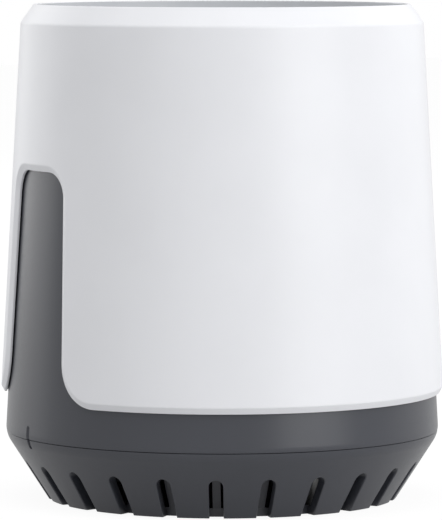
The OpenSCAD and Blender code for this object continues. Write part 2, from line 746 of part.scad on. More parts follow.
// The processor, its power regulator and its crystal: distance to the side, height, width, depth, length
chip_z = 34;
chip_w = 7;
chip_t = 1;
regulator_x = 11;
regulator_z = 30;
regulator_w = 4;
regulator_t = 0.9;
regulator_h = 3;
crystal_x = -11;
crystal_z = 33;
crystal_w = 2.4;
crystal_t = 0.8;
crystal_h = 5;
module processor() color("#202020") {
    on_board(0, chip_z, chip_w, chip_t, chip_w, -1);
    on_board(regulator_x, regulator_z, regulator_w, regulator_t, regulator_h, -1);
    on_board(crystal_x, crystal_z, crystal_w, crystal_t, crystal_h, -1);
}

reed_r = 0.9;
reed_l = 12;
lead_r = 0.3;
module reed_switch() color("#9fb6a8") {
    translate([-reed_l / 2, board_front_y - reed_r - pipe_gap, axle_z + magnet_h]) rotate([0, 90, 0]) {
        cylinder(r = reed_r, h = reed_l, $fn = small_fn);
        translate([0, 0, -reed_r * 2]) cylinder(r = lead_r, h = reed_l + reed_r * 4, $fn = small_fn);
    }
    for (side = [-1, 1]) translate([side * (reed_l / 2 + reed_r * 2), 0, axle_z + magnet_h])
        rod_y(lead_r, board_front_y - reed_r - pipe_gap, board_front_y, small_fn);
}
// The antenna stands on the board's back, above the cells
antenna_r = 0.6;
antenna_edge = 5;
antenna_rise = 0.6;
antenna_foot_w = 3;
antenna_foot_h = 2;
module antenna() color(gold) {
    x = board_w - antenna_edge;
    low = cell_high_z + antenna_foot_h;
    translate([x, board_back_y + antenna_r * 2, 0]) post(antenna_r, low, board_high_z + antenna_rise);
    on_board(x, low, antenna_foot_w, antenna_r * 3, antenna_foot_h, 1);
}
led_z = 13;
led_w = 1.6;
led_d = 1.2;
led_h = 2;
module status_led() color("#d9e6d0") on_board(-button_x, led_z, led_w, led_d, led_h, 1);

switch_low_z = floor_t + door_gap + seal_t + button_stem_h + button_travel + sleeve_gap;
module tact_switch() color("#202020") {
    on_board(-button_x, switch_low_z + actuator_h + switch_h / 2, switch_w, switch_d, switch_h, 1);
    translate([-button_x, button_y, 0])
        post(pipe_r, switch_low_z, switch_low_z + actuator_h + switch_h / 2);
}

module pair_button() color("#5d6064") translate([-button_x, button_y, 0]) {
    flange_r = button_r + case_wall / 2;
    flange_low_z = floor_t + door_gap;
    post(button_r, door_gap, flange_low_z + door_gap);
    post(flange_r, flange_low_z, flange_low_z + seal_t);
    post(pipe_r, flange_low_z, flange_low_z + seal_t + button_stem_h);
}

module light_pipe() color("#dfe8ee") {
    translate([-button_x, pipe_y, 0]) post(pipe_r, door_gap, led_z + pipe_r);
    translate([-button_x, 0, led_z]) rod_y(pipe_r - pipe_gap, board_back_y + led_d + pipe_gap, pipe_y);
}

// Cells, contacts and the door under them

contact_t = 0.5;
door_low_z = door_gap;
door_top_z = door_low_z + door_t;
contact_top_z = door_top_z + contact_t;
contact_rise = 1.5;
cell_low_z = contact_top_z + contact_rise;
nub_r = 2.7;
nub_h = 1;

module cell(up) {
    low = up ? cell_low_z : cell_low_z + nub_h;
    post(cell_r, low, low + cell_l, 64);
    post(nub_r, up ? low + cell_l - nub_h / 2 : low - nub_h, up ? low + cell_l + nub_h : low + nub_h / 2);
}
cell_high_z = cell_low_z + cell_l + nub_h;
module cell_left() color("#8b6a3c") translate([cell_x_left, cell_y, 0]) cell(true);
module cell_right() color("#8b6a3c") translate([cell_x_right, cell_y, 0]) cell(false);

contact_w = 7;
module cell_contacts() color(steel) for (x = [cell_x_left, cell_x_right])
    translate([x - contact_w / 2, board_back_y, cell_high_z + pipe_gap])
        cube([contact_w, cell_y + nub_r - board_back_y, contact_t]);

strip_w = 5;
module door_contact() color(steel) {
    translate([cell_x_left - nub_r, cell_y - strip_w / 2, door_top_z])
        cube([cell_pitch + 2 * nub_r, strip_w, contact_t]);
    for (x = [cell_x_left, cell_x_right]) translate([x, cell_y, 0])
        post(nub_r, door_top_z, cell_low_z - pipe_gap);
}

// The door, with a plug that the seal goes round
plug_gap = 0.9;
nick_share = 0.8;
module battery_door() color(grey) {
    difference() {
        translate([0, 0, door_low_z]) linear_extrude(door_t)
            two_ends(door_r, cell_x_left, door_right_x, cell_y);
        translate([door_screw_x, cell_y, 0]) post(door_screw_r + axle_gap, 0, door_top_z + over);
        translate([door_screw_x, cell_y, 0]) post(door_screw_head_r + pipe_gap, 0, door_low_z + door_t / 2);
        // Finger nick at the far end
        translate([cell_x_left - door_r, cell_y, 0]) rotate([90, 0, 0]) translate([0, 0, -nub_r])
            cylinder(r = door_t * nick_share, h = 2 * nub_r, $fn = small_fn);
    }
    translate([0, 0, door_top_z - contact_t / 2]) linear_extrude(contact_t + contact_rise) difference() {
        two_ends(cell_hole_r - plug_gap, cell_x_left, cell_x_right, cell_y);
        two_ends(cell_hole_r - plug_gap - bucket_wall, cell_x_left, cell_x_right, cell_y);
    }
}

module door_seal() color("#222222") translate([0, 0, door_top_z]) linear_extrude(contact_t) difference() {
    two_ends(cell_hole_r - door_gap, cell_x_left, cell_x_right, cell_y);
    two_ends(cell_hole_r - plug_gap, cell_x_left, cell_x_right, cell_y);
}

module door_screw() color(steel) translate([door_screw_x, cell_y, 0]) difference() {
    union() {
        post(door_screw_r, door_low_z, door_screw_boss_z - over);
        post(door_screw_head_r, door_low_z, door_low_z + door_t / 2);
    }
    bar(2 * door_screw_head_r + over, door_screw_r / 2, 0, door_low_z + door_t / 4);
}

// Bubble level on the deck

level_foot = 1.5;
level_lens_t = 1.6;
bubble_r = 1.8;
bubble_h = 1;
bubble_x = 1;
bubble_y = 0.8;
module level_cup() color(white) translate([0, -level_y, 0]) difference() {
    union() {
        post(level_r, chassis_top_z, chassis_top_z + level_h, 48);
        post(level_r + level_wall, chassis_top_z, chassis_top_z + level_wall, 48);
    }
    post(level_r - level_wall, chassis_top_z + level_foot, chassis_top_z + level_h + over, 48);
}
module level_lens() color("#dfe8ee") translate([0, -level_y, 0])
    post(level_r - level_wall, chassis_top_z + level_h - level_lens_t, chassis_top_z + level_h, 48);
module level_fluid() color("#b6d84a") translate([0, -level_y, 0]) difference() {
    post(level_r - level_wall, chassis_top_z + level_foot, chassis_top_z + level_h - level_lens_t, 48);
    translate([bubble_x, bubble_y, 0])
        post(bubble_r, chassis_top_z + level_h - level_lens_t - bubble_h, chassis_top_z + level_h);
}

// Barrel

module bayonet_lug() {
    in_r = spigot_r - lug_reach;
    translate([in_r, -lug_w / 2, lug_z - lug_h / 2])
        cube([barrel_at(lug_z) - barrel_wall / 2 - in_r, lug_w, lug_h]);
}

module barrel() color(grey) difference() {
    union() {
        rotate_extrude() polygon(concat(
            [[barrel_at(barrel_bottom_z) - barrel_wall, barrel_bottom_z]],
            barrel_line(0, barrel_top_z), [[barrel_at(barrel_top_z) - barrel_wall, barrel_top_z]]));
        for (i = [0:lug_count - 1]) rotate([0, 0, (i + 0.5) * 360 / lug_count]) bayonet_lug();
    }
    mark_cutter(parting_z, parting_z + mark_up);
}

// Collector

// The notch's outline in steps round the right-hand side, grown by d; x is measured round the shell
side_run = tan(notch_flare);
corner_x = notch_half_w - notch_corner_r * cos(notch_flare);
corner_z = notch_top_z - notch_corner_r;
foot_z = sleeve_foot_z + notch_foot_r;
foot_x = notch_half_w + notch_foot_r * cos(notch_flare)
    + (corner_z + notch_corner_r * sin(notch_flare) - foot_z - notch_foot_r * sin(notch_flare)) * side_run;
// The foot's arc stops just short of the shell's bottom edge
foot_stop = 265;
top_steps = 3;

function notch_right(d) = concat(
    [for (i = [0:top_steps]) [corner_x * i / top_steps, notch_top_z + d]],
    [for (i = [1:corner_steps]) let (a = 90 - (90 - notch_flare) * i / corner_steps)
        [corner_x + (notch_corner_r + d) * cos(a), corner_z + (notch_corner_r + d) * sin(a)]],
    [for (i = [0:corner_steps])
        let (a = 180 + notch_flare + (foot_stop - 180 - notch_flare) * i / corner_steps)
        [foot_x + (notch_foot_r - d) * cos(a), foot_z + (notch_foot_r - d) * sin(a)]],
    [[foot_x, sleeve_foot_z - over]]);
function notch_loop(d) = let (right = notch_right(d), n = len(right))
    concat(right, [for (i = [n - 1:-1:1]) [-right[i][0], right[i][1]]]);

// One ring of the cutter: the outline grown by d, laid on the shell's cone at the given step out from it
function notch_ring(d, out) = [for (p = notch_loop(d))
    let (r = sleeve_at(p[1]) + out, a = 180 + p[0] / sleeve_at(p[1]) * 180 / PI) [r * cos(a), r * sin(a), p[1]]];
function cap_point(out) = let (z = sleeve_foot_z + over) [-sleeve_at(z) - out, 0, z];

// Cutter of one notch, on the -X side: straight through the inner wall, then bevelled out past the surface
module notch_cutter() {
    n = len(notch_loop(0));
    cut_in = -sleeve_wall - over;
    rise = edge_w / edge_depth;
    cut_out = 5 * over;
    skin = over / 2;
    points = concat(
        notch_ring(0, cut_in), notch_ring(0, -edge_depth),
        notch_ring(edge_w + skin * rise, skin), notch_ring(edge_w + skin * rise, cut_out),
        [cap_point(cut_in), cap_point(cut_out)]);
    walls = [for (ring = [0:2], i = [0:n - 1]) let (a = ring * n + i, b = ring * n + (i + 1) % n)
        each [[a, b, b + n], [a, b + n, a + n]]];
    caps = [for (i = [0:n - 1]) each [
        [4 * n, (i + 1) % n, i], [4 * n + 1, 3 * n + i, 3 * n + (i + 1) % n]]];
    polyhedron(points = points, faces = concat(walls, caps), convexity = 6);
}

module collector_shell() color(white) difference() {
    rotate_extrude() polygon([
        [sleeve_at(sleeve_foot_z) - edge_depth, sleeve_foot_z],
        [sleeve_at(sleeve_foot_z + edge_w), sleeve_foot_z + edge_w],
        [sleeve_at(rim_z), rim_z], [lip_r, height], [mouth_r, height], [mouth_r, seat_z],
        [seat_r, seat_z], [sleeve_in(seat_z - flange_t - over), seat_z - flange_t - over],
        [sleeve_in(sleeve_foot_z), sleeve_foot_z]]);
    notch_cutter();
    rotate([0, 0, 180]) notch_cutter();
}

// Funnel: flange, drum, cone and spout, with feet that stand on the barrel's top edge
flange_fit = 0.1;
// Upright thickness of the cone, in walls
cone_wall_share = 1.35;
foot_top_r = mouth_r + foot_w;
module funnel() color(white) {
    cone_wall = funnel_wall * cone_wall_share;
    rotate_extrude() polygon([
        [mouth_r, seat_z], [seat_r - flange_fit, seat_z], [seat_r - flange_fit, seat_z - flange_t],
        [mouth_r + funnel_wall, seat_z - flange_t], [mouth_r + funnel_wall, cone_z],
        [spout_r + funnel_wall, throat_z - cone_wall], [spout_r + funnel_wall, spout_z],
        [spout_r, spout_z], [spout_r, throat_z], [mouth_r, cone_z]]);
    foot_low_z = barrel_top_z + sleeve_gap;
    foot_in_r = mouth_r + funnel_wall / 2;
    for (i = [0:foot_count - 1]) rotate([0, 0, (i + 0.5) * 360 / foot_count])
        rotate([90, 0, 0]) translate([0, 0, -foot_t / 2]) linear_extrude(foot_t) polygon([
            [foot_in_r, seat_z - flange_t], [seat_r - flange_fit, seat_z - flange_t],
            [foot_top_r, cone_z], [foot_top_r, foot_low_z],
            [foot_top_r - foot_w, foot_low_z], [foot_top_r - foot_w - funnel_wall, cone_z - funnel_wall],
            [foot_in_r, cone_z]]);
}

// Leaf screen: a pierced cap that sits in the cone, with a knob to lift it by
cone_slope = (cone_z - throat_z) / (mouth_r - spout_r);
screen_gap = 0.35;
screen_z = throat_z + (screen_r - spout_r) * cone_slope + screen_gap;
screen_top_z = screen_z + screen_t + screen_dome;
screen_ring_pitch = 3.05;
// The cap is flat out to just past its last ring of holes
screen_rings = 3;
screen_flat_r = knob_r / 2 + screen_rings * screen_ring_pitch + screen_hole_r * 1.5;
knob_neck_r = 1.7;
knob_bevel = 0.6;
knob_head_h = 1.8;
module leaf_screen() color(grey) difference() {
    knob_top_z = screen_top_z + knob_h;
    knob_low_z = knob_top_z - knob_head_h;
    rotate_extrude() polygon([
        [0, knob_top_z], [knob_r - knob_bevel, knob_top_z], [knob_r, knob_top_z - knob_bevel],
        [knob_r, knob_low_z + knob_bevel], [knob_neck_r, knob_low_z], [knob_neck_r, screen_top_z],
        [screen_flat_r, screen_top_z], [screen_r, screen_z + screen_t], [screen_r, screen_z],
        [screen_r - screen_t, screen_z], [screen_flat_r - screen_t / 3, screen_top_z - screen_t],
        [0, screen_top_z - screen_t]]);
    for (ring = [1:screen_rings], i = [0:6 * ring - 1]) rotate([0, 0, i * 60 / ring])
        translate([knob_r / 2 + ring * screen_ring_pitch, 0, 0])
            post(screen_hole_r, screen_z - over, knob_top_z + over, 16);
}

base();
chassis();
drain_screen_left();
drain_screen_right();
chassis_screws();
bearing_bracket_front();
bearing_bracket_rear();
bracket_screws();
stop_screws();
bucket();
bucket_axle();
bucket_magnet();
electronics_case();
case_cover();
cover_gasket();
case_foot_seal();
cover_screws();
circuit_board();
radio_module();
processor();
reed_switch();
antenna();
status_led();
tact_switch();
light_pipe();
pair_button();
cell_left();
cell_right();
cell_contacts();
battery_door();
door_seal();
door_screw();
door_contact();
level_cup();
level_lens();
level_fluid();
barrel();
collector_shell();
funnel();
leaf_screen();
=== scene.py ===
"""Rain sensor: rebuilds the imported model's shells, and adds finishes and a studio.

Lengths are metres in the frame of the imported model: +Z up, origin at the centre of the underside.
"""

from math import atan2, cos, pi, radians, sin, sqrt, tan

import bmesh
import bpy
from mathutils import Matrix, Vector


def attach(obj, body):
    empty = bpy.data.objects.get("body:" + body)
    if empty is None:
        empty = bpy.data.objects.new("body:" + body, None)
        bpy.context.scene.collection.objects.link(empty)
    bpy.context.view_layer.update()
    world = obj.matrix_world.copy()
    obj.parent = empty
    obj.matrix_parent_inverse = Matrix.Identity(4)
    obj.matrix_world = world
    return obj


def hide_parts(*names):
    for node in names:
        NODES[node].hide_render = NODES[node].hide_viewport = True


bl_info = {
    "name": "Rain Sensor Dressing",
    "version": (1, 0, 0),
    "blender": (4, 5, 0),
    "location": "View3D > Sidebar > Rain Sensor",
    "description": "Rebuilds a tipping-bucket rain sensor's shells, and adds its finishes and a studio",
    "category": "Object",
}

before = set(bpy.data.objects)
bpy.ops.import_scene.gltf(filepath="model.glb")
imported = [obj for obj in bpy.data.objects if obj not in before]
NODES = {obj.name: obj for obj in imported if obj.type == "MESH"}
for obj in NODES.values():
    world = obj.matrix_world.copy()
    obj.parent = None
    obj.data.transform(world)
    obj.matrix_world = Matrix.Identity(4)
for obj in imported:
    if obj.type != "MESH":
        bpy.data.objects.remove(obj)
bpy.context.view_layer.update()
MM = 0.001


# Colour and material helpers

def linear(code):
    """An sRGB hex colour as the linear RGBA that sockets take."""
    out = []
    for i in (0, 2, 4):
        c = int(code.lstrip("#")[i:i + 2], 16) / 255
        out.append(c / 12.92 if c <= 0.04045 else ((c + 0.055) / 1.055) ** 2.4)
    return (*out, 1.0)


def add_node(tree, kind, inputs=None, **settings):
    """Adds one node: settings are its properties, inputs its sockets' values or what feeds them."""
    node = tree.nodes.new(kind)
    for name, value in settings.items():
        setattr(node, name, value)
    for key, value in (inputs or {}).items():
        if isinstance(value, bpy.types.NodeSocket):
            tree.links.new(value, node.inputs[key])
        else:
            node.inputs[key].default_value = value
    return node


def per_metre(size_mm):
    """The texture scale at which one feature of the pattern is size_mm across."""
    return 1.0 / (size_mm * MM)


def new_material(name):
    """An empty material with its tree, its output and object coordinates in metres."""
    mat = bpy.data.materials.new(name)
    mat.use_nodes = True
    tree = mat.node_tree
    tree.nodes.clear()
    out = add_node(tree, "ShaderNodeOutputMaterial")
    place = add_node(tree, "ShaderNodeTexCoord").outputs["Object"]
    return mat, tree, out, place


# Patterns that several finishes share: width of the clouds and of the haze, and how much roughness haze adds
CLOUD_MM = 24.0
HAZE_MM = 2.0
HAZE_SPREAD = 0.04
# Scale of a metal's drawn lines along Z, which makes them 12 times as long as they are wide
LINE_STRETCH = 0.08
# The Mix node's colour sockets: inputs A and B, and the output
MIX_A, MIX_B, MIX_OUT = 6, 7, 2


def moulded(name, colour, drift, roughness, spread, grain_mm, relief_mm, ior=1.52):
    """A moulded plastic of a linear colour, darker by the share drift in broad clouds.

    The tool's texture, with grain_mm for its width and relief_mm for its height, changes the roughness
    by spread either way."""
    mat, tree, out, place = new_material(name)
    cloud = add_node(tree, "ShaderNodeTexNoise", {
        "Vector": place, "Scale": per_metre(CLOUD_MM), "Detail": 3.0})
    grain = add_node(tree, "ShaderNodeTexNoise", {
        "Vector": place, "Scale": per_metre(grain_mm), "Detail": 1.0})
    share = add_node(tree, "ShaderNodeMapRange", {
        "Value": cloud.outputs["Fac"], "From Min": 0.35, "From Max": 0.6})
    dark = (*(c * (1 - drift) for c in colour[:3]), 1.0)
    tint = add_node(tree, "ShaderNodeMix", {
        0: share.outputs["Result"], MIX_A: dark, MIX_B: (*colour[:3], 1.0)}, data_type="RGBA")
    gloss = add_node(tree, "ShaderNodeMapRange", {
        "Value": grain.outputs["Fac"], "From Min": 0.3, "From Max": 0.7,
        "To Min": roughness - spread, "To Max": roughness + spread})
    bump = add_node(tree, "ShaderNodeBump", {
        "Strength": 1.0, "Distance": relief_mm * MM, "Height": grain.outputs["Fac"]})
    shader = add_node(tree, "ShaderNodeBsdfPrincipled", {
        "Base Color": tint.outputs[MIX_OUT], "Roughness": gloss.outputs["Result"],
        "Normal": bump.outputs["Normal"], "IOR": ior})
    tree.links.new(shader.outputs["BSDF"], out.inputs["Surface"])
    return mat


def metal(name, colour, roughness, brush_mm, relief_mm):
    """A metal with fine drawn lines along Z, brush_mm wide."""
    mat, tree, out, place = new_material(name)
    stretched = add_node(tree, "ShaderNodeMapping", {"Vector": place, "Scale": (1.0, 1.0, LINE_STRETCH)})
    lines = add_node(tree, "ShaderNodeTexNoise", {
        "Vector": stretched.outputs["Vector"], "Scale": per_metre(brush_mm), "Detail": 3.0})
    gloss = add_node(tree, "ShaderNodeMapRange", {
        "Value": lines.outputs["Fac"], "To Min": roughness * 0.7, "To Max": roughness * 1.3})
    bump = add_node(tree, "ShaderNodeBump", {
        "Strength": 1.0, "Distance": relief_mm * MM, "Height": lines.outputs["Fac"]})
    shader = add_node(tree, "ShaderNodeBsdfPrincipled", {
        "Base Color": linear(colour), "Metallic": 1.0, "Roughness": gloss.outputs["Result"],
        "Normal": bump.outputs["Normal"]})
    tree.links.new(shader.outputs["BSDF"], out.inputs["Surface"])
    return mat


def hazed(tree, place, roughness):
    """The roughness of a clear surface with a faint uneven haze."""
    haze = add_node(tree, "ShaderNodeTexNoise", {"Vector": place, "Scale": per_metre(HAZE_MM), "Detail": 2.0})
    gloss = add_node(tree, "ShaderNodeMapRange", {
        "Value": haze.outputs["Fac"], "To Min": roughness, "To Max": roughness + HAZE_SPREAD})
    return gloss.outputs["Result"]


def clear(name, colour, roughness, ior):
    """A thick clear moulding or drawn glass that bends the light."""
    mat, tree, out, place = new_material(name)
    shader = add_node(tree, "ShaderNodeBsdfPrincipled", {
        "Base Color": linear(colour), "Roughness": hazed(tree, place, roughness),
        "Transmission Weight": 1.0, "IOR": ior})
    tree.links.new(shader.outputs["BSDF"], out.inputs["Surface"])
    return mat


def pane(name, colour, shine, roughness):
    """A thin clear window that mirrors the share shine and lets the rest of the light through."""
    mat, tree, out, place = new_material(name)
    through = add_node(tree, "ShaderNodeBsdfTransparent", {"Color": linear(colour)})
    mirror = add_node(tree, "ShaderNodeBsdfGlossy", {"Roughness": hazed(tree, place, roughness)})
    both = add_node(tree, "ShaderNodeMixShader", {
        0: shine, 1: through.outputs["BSDF"], 2: mirror.outputs["BSDF"]})
    tree.links.new(both.outputs["Shader"], out.inputs["Surface"])
    return mat


def make_materials(shell, body, works):
    """Every finish, by a short key.

    A real tool texture is 0.1 to 0.2 mm wide and a drawn line in metal is under 0.1 mm. Both are too fine
    to show in the render, so the first is drawn 0.3 to 1.5 mm wide and the second 0.35 to 0.5 mm."""
    return {
        # Fine matt tool texture: soft wide highlights, no mirror of the lamps
        "shell": moulded("white ABS, moulded, fine matt texture", shell.colour, 0.02, 0.36, 0.03, 0.5, 0.004),
        # Polished so that water runs off, with soft reflections of the studio. Its colour, a shade darker
        # than the shell, is painted shade for the dim inside of the mouth
        "mouth": moulded(
            "white ABS, moulded, polished tool, painted shade", shell.shaded_mouth_colour, 0.02, 0.2, 0.02, 0.5, 0.001),
        # Spark-eroded satin: dark, with a grey sheen towards the outline
        "body": moulded("grey ABS, moulded, spark-eroded texture", body.colour, 0.07, 0.3, 0.015, 1.1, 0.001),
        # Satin black inside parts: edges show only by their highlights
        "works": moulded("black ABS, moulded, satin", works.colour, 0.18, 0.4, 0.05, 0.7, 0.008),
        # Natural acetal: slightly waxy and warm white
        "acetal": moulded("natural acetal, moulded", linear("#e9e8e2"), 0.07, 0.34, 0.03, 0.9, 0.004, 1.48),
        # Silicone: dull and soft, hardly any highlight
        "button": moulded(
            "grey silicone rubber, moulded", linear("#6c6f73"), 0.12, 0.62, 0.05, 0.5, 0.01, 1.41),
        # Seal rubber: almost black and matt
        "rubber": moulded("EPDM rubber, moulded", linear("#1d1e1f"), 0.2, 0.7, 0.06, 0.6, 0.02, 1.5),
        # Chip packages: matt charcoal against the glossy board
        "chip": moulded("epoxy moulding compound", linear("#1b1c1e"), 0.2, 0.5, 0.05, 0.3, 0.006),
        # Solder mask: deep green, with a slightly uneven gloss over the weave
        "board": moulded(
            "glass epoxy laminate, green solder mask", linear("#1d5a38"), 0.3, 0.3, 0.06, 0.8, 0.01, 1.55),
        # Cell sleeve: smooth shrunk film with a clear highlight
        "cell": moulded("printed PVC cell sleeve", linear("#8a6a3e"), 0.2, 0.28, 0.05, 1.5, 0.006),
        # Rolled steel: grey and bright, highlights drawn out along the part
        "steel": metal("A2 stainless steel, rolled", "#c3c5c8", 0.3, 0.4, 0.002),
        # Plating: close to a mirror, slightly warm
        "nickel": metal("neodymium magnet, nickel plated", "#c9c8c4", 0.16, 0.5, 0.001),
        # Tin: softer and a little bluer than steel
        "tin": metal("tinned spring steel", "#b7babd", 0.26, 0.5, 0.002),
        # Turned brass: yellow metal that picks the stop screws and the antenna out
        "brass": metal("brass, turned", "#c49a4a", 0.24, 0.35, 0.002),
        # Mesh: a dull metal disc round sharp dark holes
        "screen": metal("stainless mesh, punched", "#aeb1b5", 0.36, 0.5, 0.003),
        # Drawn glass: faint green tint, sharp highlights
        "glass": clear("soda glass, drawn", "#dfe9e2", 0.02, 1.5),
        # Moulded acrylic: clear and bright at its edges
        "acrylic": clear("acrylic, moulded", "#f2f6f8", 0.03, 1.49),
        # The level's window: a thin shine over the green below
        "window": pane("acrylic window, polished", "#f4f8f8", 0.12, 0.02),
        # Level spirit: bright yellow-green that fills the cup
        "spirit": moulded("tinted level spirit", linear("#b9d93c"), 0.05, 0.06, 0.01, 3.0, 0.0, 1.36),
    }


# The materials that make_materials gave, by the same keys
FINISH = {}

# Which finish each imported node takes
FINISHES = {
    "collector_shell": "shell", "funnel": "mouth", "barrel": "body", "base": "body", "leaf_screen": "body",
    "chassis": "works", "bucket": "works", "electronics_case": "works", "case_cover": "works",
    "battery_door": "body", "pair_button": "button", "door_seal": "rubber", "cover_gasket": "rubber",
    "case_foot_seal": "rubber", "chassis_screws": "steel", "bracket_screws": "steel", "cover_screws": "steel",
    "door_screw": "steel", "bucket_axle": "steel",
    "drain_screen_left": "screen", "drain_screen_right": "screen",
    "bearing_bracket_front": "acetal", "bearing_bracket_rear": "acetal", "stop_screws": "brass",
    "bucket_magnet": "nickel", "circuit_board": "board", "radio_module": "tin", "processor": "chip",
    "reed_switch": "glass", "antenna": "brass", "status_led": "acrylic", "tact_switch": "chip",
    "light_pipe": "acrylic", "cell_left": "cell", "cell_right": "cell", "cell_contacts": "tin",
    "door_contact": "tin", "level_cup": "acetal", "level_lens": "window", "level_fluid": "spirit",
}


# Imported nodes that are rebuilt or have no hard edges
SMOOTH_NODES = {"collector_shell", "funnel", "barrel", "base", "level_fluid", "level_lens", "reed_switch"}
# A packed edge is softened where its faces turn by more than this
HARD_EDGE = radians(40)


def dress(node, mat, soft):
    """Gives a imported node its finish, and edges of the width soft that catch the light."""
    obj = NODES[node]
    obj.data.materials.clear()
    obj.data.materials.append(mat)
    if soft:
        edge = obj.modifiers.new("soft edges", "BEVEL")
        edge.width = soft
        edge.segments = 2
        edge.limit_method = "ANGLE"
        edge.angle_limit = HARD_EDGE


# The outside line, in millimetres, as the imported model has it

DRAFT = radians(3.23)
LEAN = radians(32.7)
HEIGHT = 125.0
PARTING_Z = 17.1
PARTING_GAP = 0.3
BARREL_FOOT_R = 54.94
BARREL_ZERO_R = BARREL_FOOT_R + PARTING_Z * tan(DRAFT)
BARREL_TOP_Z = 102.0
SKIRT_FOOT_R = 44.4
KNEE_R = 6.65
SLEEVE_GAP = 0.3
SLEEVE_WALL = 1.5
KNEE_Z = (BARREL_ZERO_R - SKIRT_FOOT_R) / (tan(LEAN) + tan(DRAFT))
KNEE_RUN = KNEE_R * tan((LEAN + DRAFT) / 2)
KNEE_LOW_Z = KNEE_Z - KNEE_RUN * cos(LEAN)
KNEE_HIGH_Z = KNEE_Z + KNEE_RUN * cos(DRAFT)


def barrel_at(z):
    """Radius of the barrel's outside at height z."""
    return BARREL_ZERO_R - z * tan(DRAFT)


def sleeve_at(z):
    """Radius of the shell's outside at height z."""
    return barrel_at(z) + SLEEVE_GAP + SLEEVE_WALL


# Mesh helpers

# A turn smaller than this, in radians, is no corner
STRAIGHT = 1e-4


def rounded(corners, closed=False, arc_steps=5):
    """A line through corners (a, b, radius) with rounded turns, as (a, b, normal a, normal b).

    The solid lies on the left of the way that the line runs."""
    out = []
    count = len(corners)
    for i, (a, b, radius) in enumerate(corners):
        here = Vector((a, b))
        before = Vector(corners[i - 1][:2]) if closed or i > 0 else None
        after = Vector(corners[(i + 1) % count][:2]) if closed or i < count - 1 else None
        way_in = (here - before).normalized() if before else None
        way_out = (after - here).normalized() if after else None
        way_in = way_in or way_out
        way_out = way_out or way_in
        turn = atan2(way_in.cross(way_out), way_in.dot(way_out))
        if abs(turn) < STRAIGHT:
            out.append((a, b, way_in.y, -way_in.x))
            continue
        side = 1 if turn > 0 else -1
        run = radius * tan(abs(turn) / 2)
        start = here - way_in * run
        normal = Vector((way_in.y, -way_in.x))
        centre = start - side * normal * radius
        for k in range(arc_steps + 1):
            n = normal.copy()
            n.rotate(Matrix.Rotation(turn * k / arc_steps, 2))
            p = centre + side * n * radius
            out.append((p.x, p.y, n.x, n.y))
    return out


class Skin:
    """Gathers points in millimetres with their true normals, and the faces between them."""

    def __init__(self):
        self.points, self.normals, self.faces, self.known = [], [], [], {}

    def point(self, place, normal):
        """The number of the point at place; points that meet are one."""
        key = tuple(round(c, 4) for c in place)
        if key not in self.known:
            self.known[key] = len(self.points)
            self.points.append(Vector(place) * MM)
            self.normals.append(Vector(normal).normalized())
        return self.known[key]

    def grid(self, rows, closed=False):
        """The faces between rows of (place, normal)."""
        rows = [[self.point(*pair) for pair in row] for row in rows]
        for low, high in zip(rows, rows[1:]):
            for i in range(len(low) - (not closed)):
                j = (i + 1) % len(low)
                self.add_face((low[i], low[j], high[j], high[i]))

    def add_face(self, face, facing=None):
        """One face, turned to the given way, or else the way its points' normals face."""
        face = list(dict.fromkeys(face))
        if len(face) < 3:
            return
        places = [self.points[i] for i in face]
        across = sum((p.cross(q) for p, q in zip(places, places[1:] + places[:1])), Vector())
        facing = facing or sum((self.normals[i] for i in face), Vector())
        self.faces.append(face if across.dot(facing) > 0 else face[::-1])

    def lathe(self, line, columns):
        """A turned ring from a closed line of (r, z, normal r, normal z)."""
        rows = []
        for r, z, nr, nz in line + line[:1]:
            angles = (2 * pi * i / columns for i in range(columns))
            rows.append([((r * cos(a), r * sin(a), z), (nr * cos(a), nr * sin(a), nz)) for a in angles])
        self.grid(rows, closed=True)

    def build(self, name, mat, body, slot, *nodes):
        """The piece, with its true normals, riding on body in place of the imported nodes."""
        mesh = bpy.data.meshes.new(name)
        mesh.from_pydata(self.points, [], self.faces)
        mesh.update()
        if mesh.validate():
            raise RuntimeError(f"{name} has faces that can't stand")
        mesh.shade_smooth()
        mesh.normals_split_custom_set_from_vertices(self.normals)
        return place_piece(name, mesh, mat, body, slot, *nodes)


def place_piece(name, mesh, mat, body, slot, *nodes):
    """An object for mesh that rides on body and stands for nodes; slot is not used."""
    mesh.materials.clear()
    mesh.materials.append(mat)
    piece = bpy.data.objects.new(name, mesh)
    bpy.context.scene.collection.objects.link(piece)
    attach(piece, body)
    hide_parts(*nodes)
    return piece


# The white shell

RIM_Z = HEIGHT - 4.6
RIM_BEVEL_IN = 3.3
LIP_W = 0.8
LIP_R = sleeve_at(RIM_Z) - RIM_BEVEL_IN
MOUTH_R = LIP_R - LIP_W
FUNNEL_WALL = 1.4
SEAT_LEDGE = 0.7
SEAT_Z = HEIGHT - 3.8
SEAT_R = MOUTH_R + FUNNEL_WALL + SEAT_LEDGE
FLANGE_Z = SEAT_Z - 1.4
FOOT_Z = 26.8
NOTCH_TOP_Z = HEIGHT - 41
NOTCH_HALF_W = 12.65
NOTCH_CORNER_R = 6.6
NOTCH_FLARE = radians(3.6)
NOTCH_FOOT_R = 11.3
# The faces beside the cut edges reach this far, and the profile's corners have these fillets
BAND_OUTSIDE, BAND_INSIDE = 3.0, 1.2
BEVEL_FILLET, CUT_FILLET, INNER_FILLET = 0.9, 0.22, 0.12
# Each notch stands in a frame of finer faces: half its angle, its top, and the steps inside and beside it
FRAME_ANGLE = radians(36)
FRAME_TOP_Z = 96.0
FRAME_STEPS, PLAIN_STEPS = 6, 22


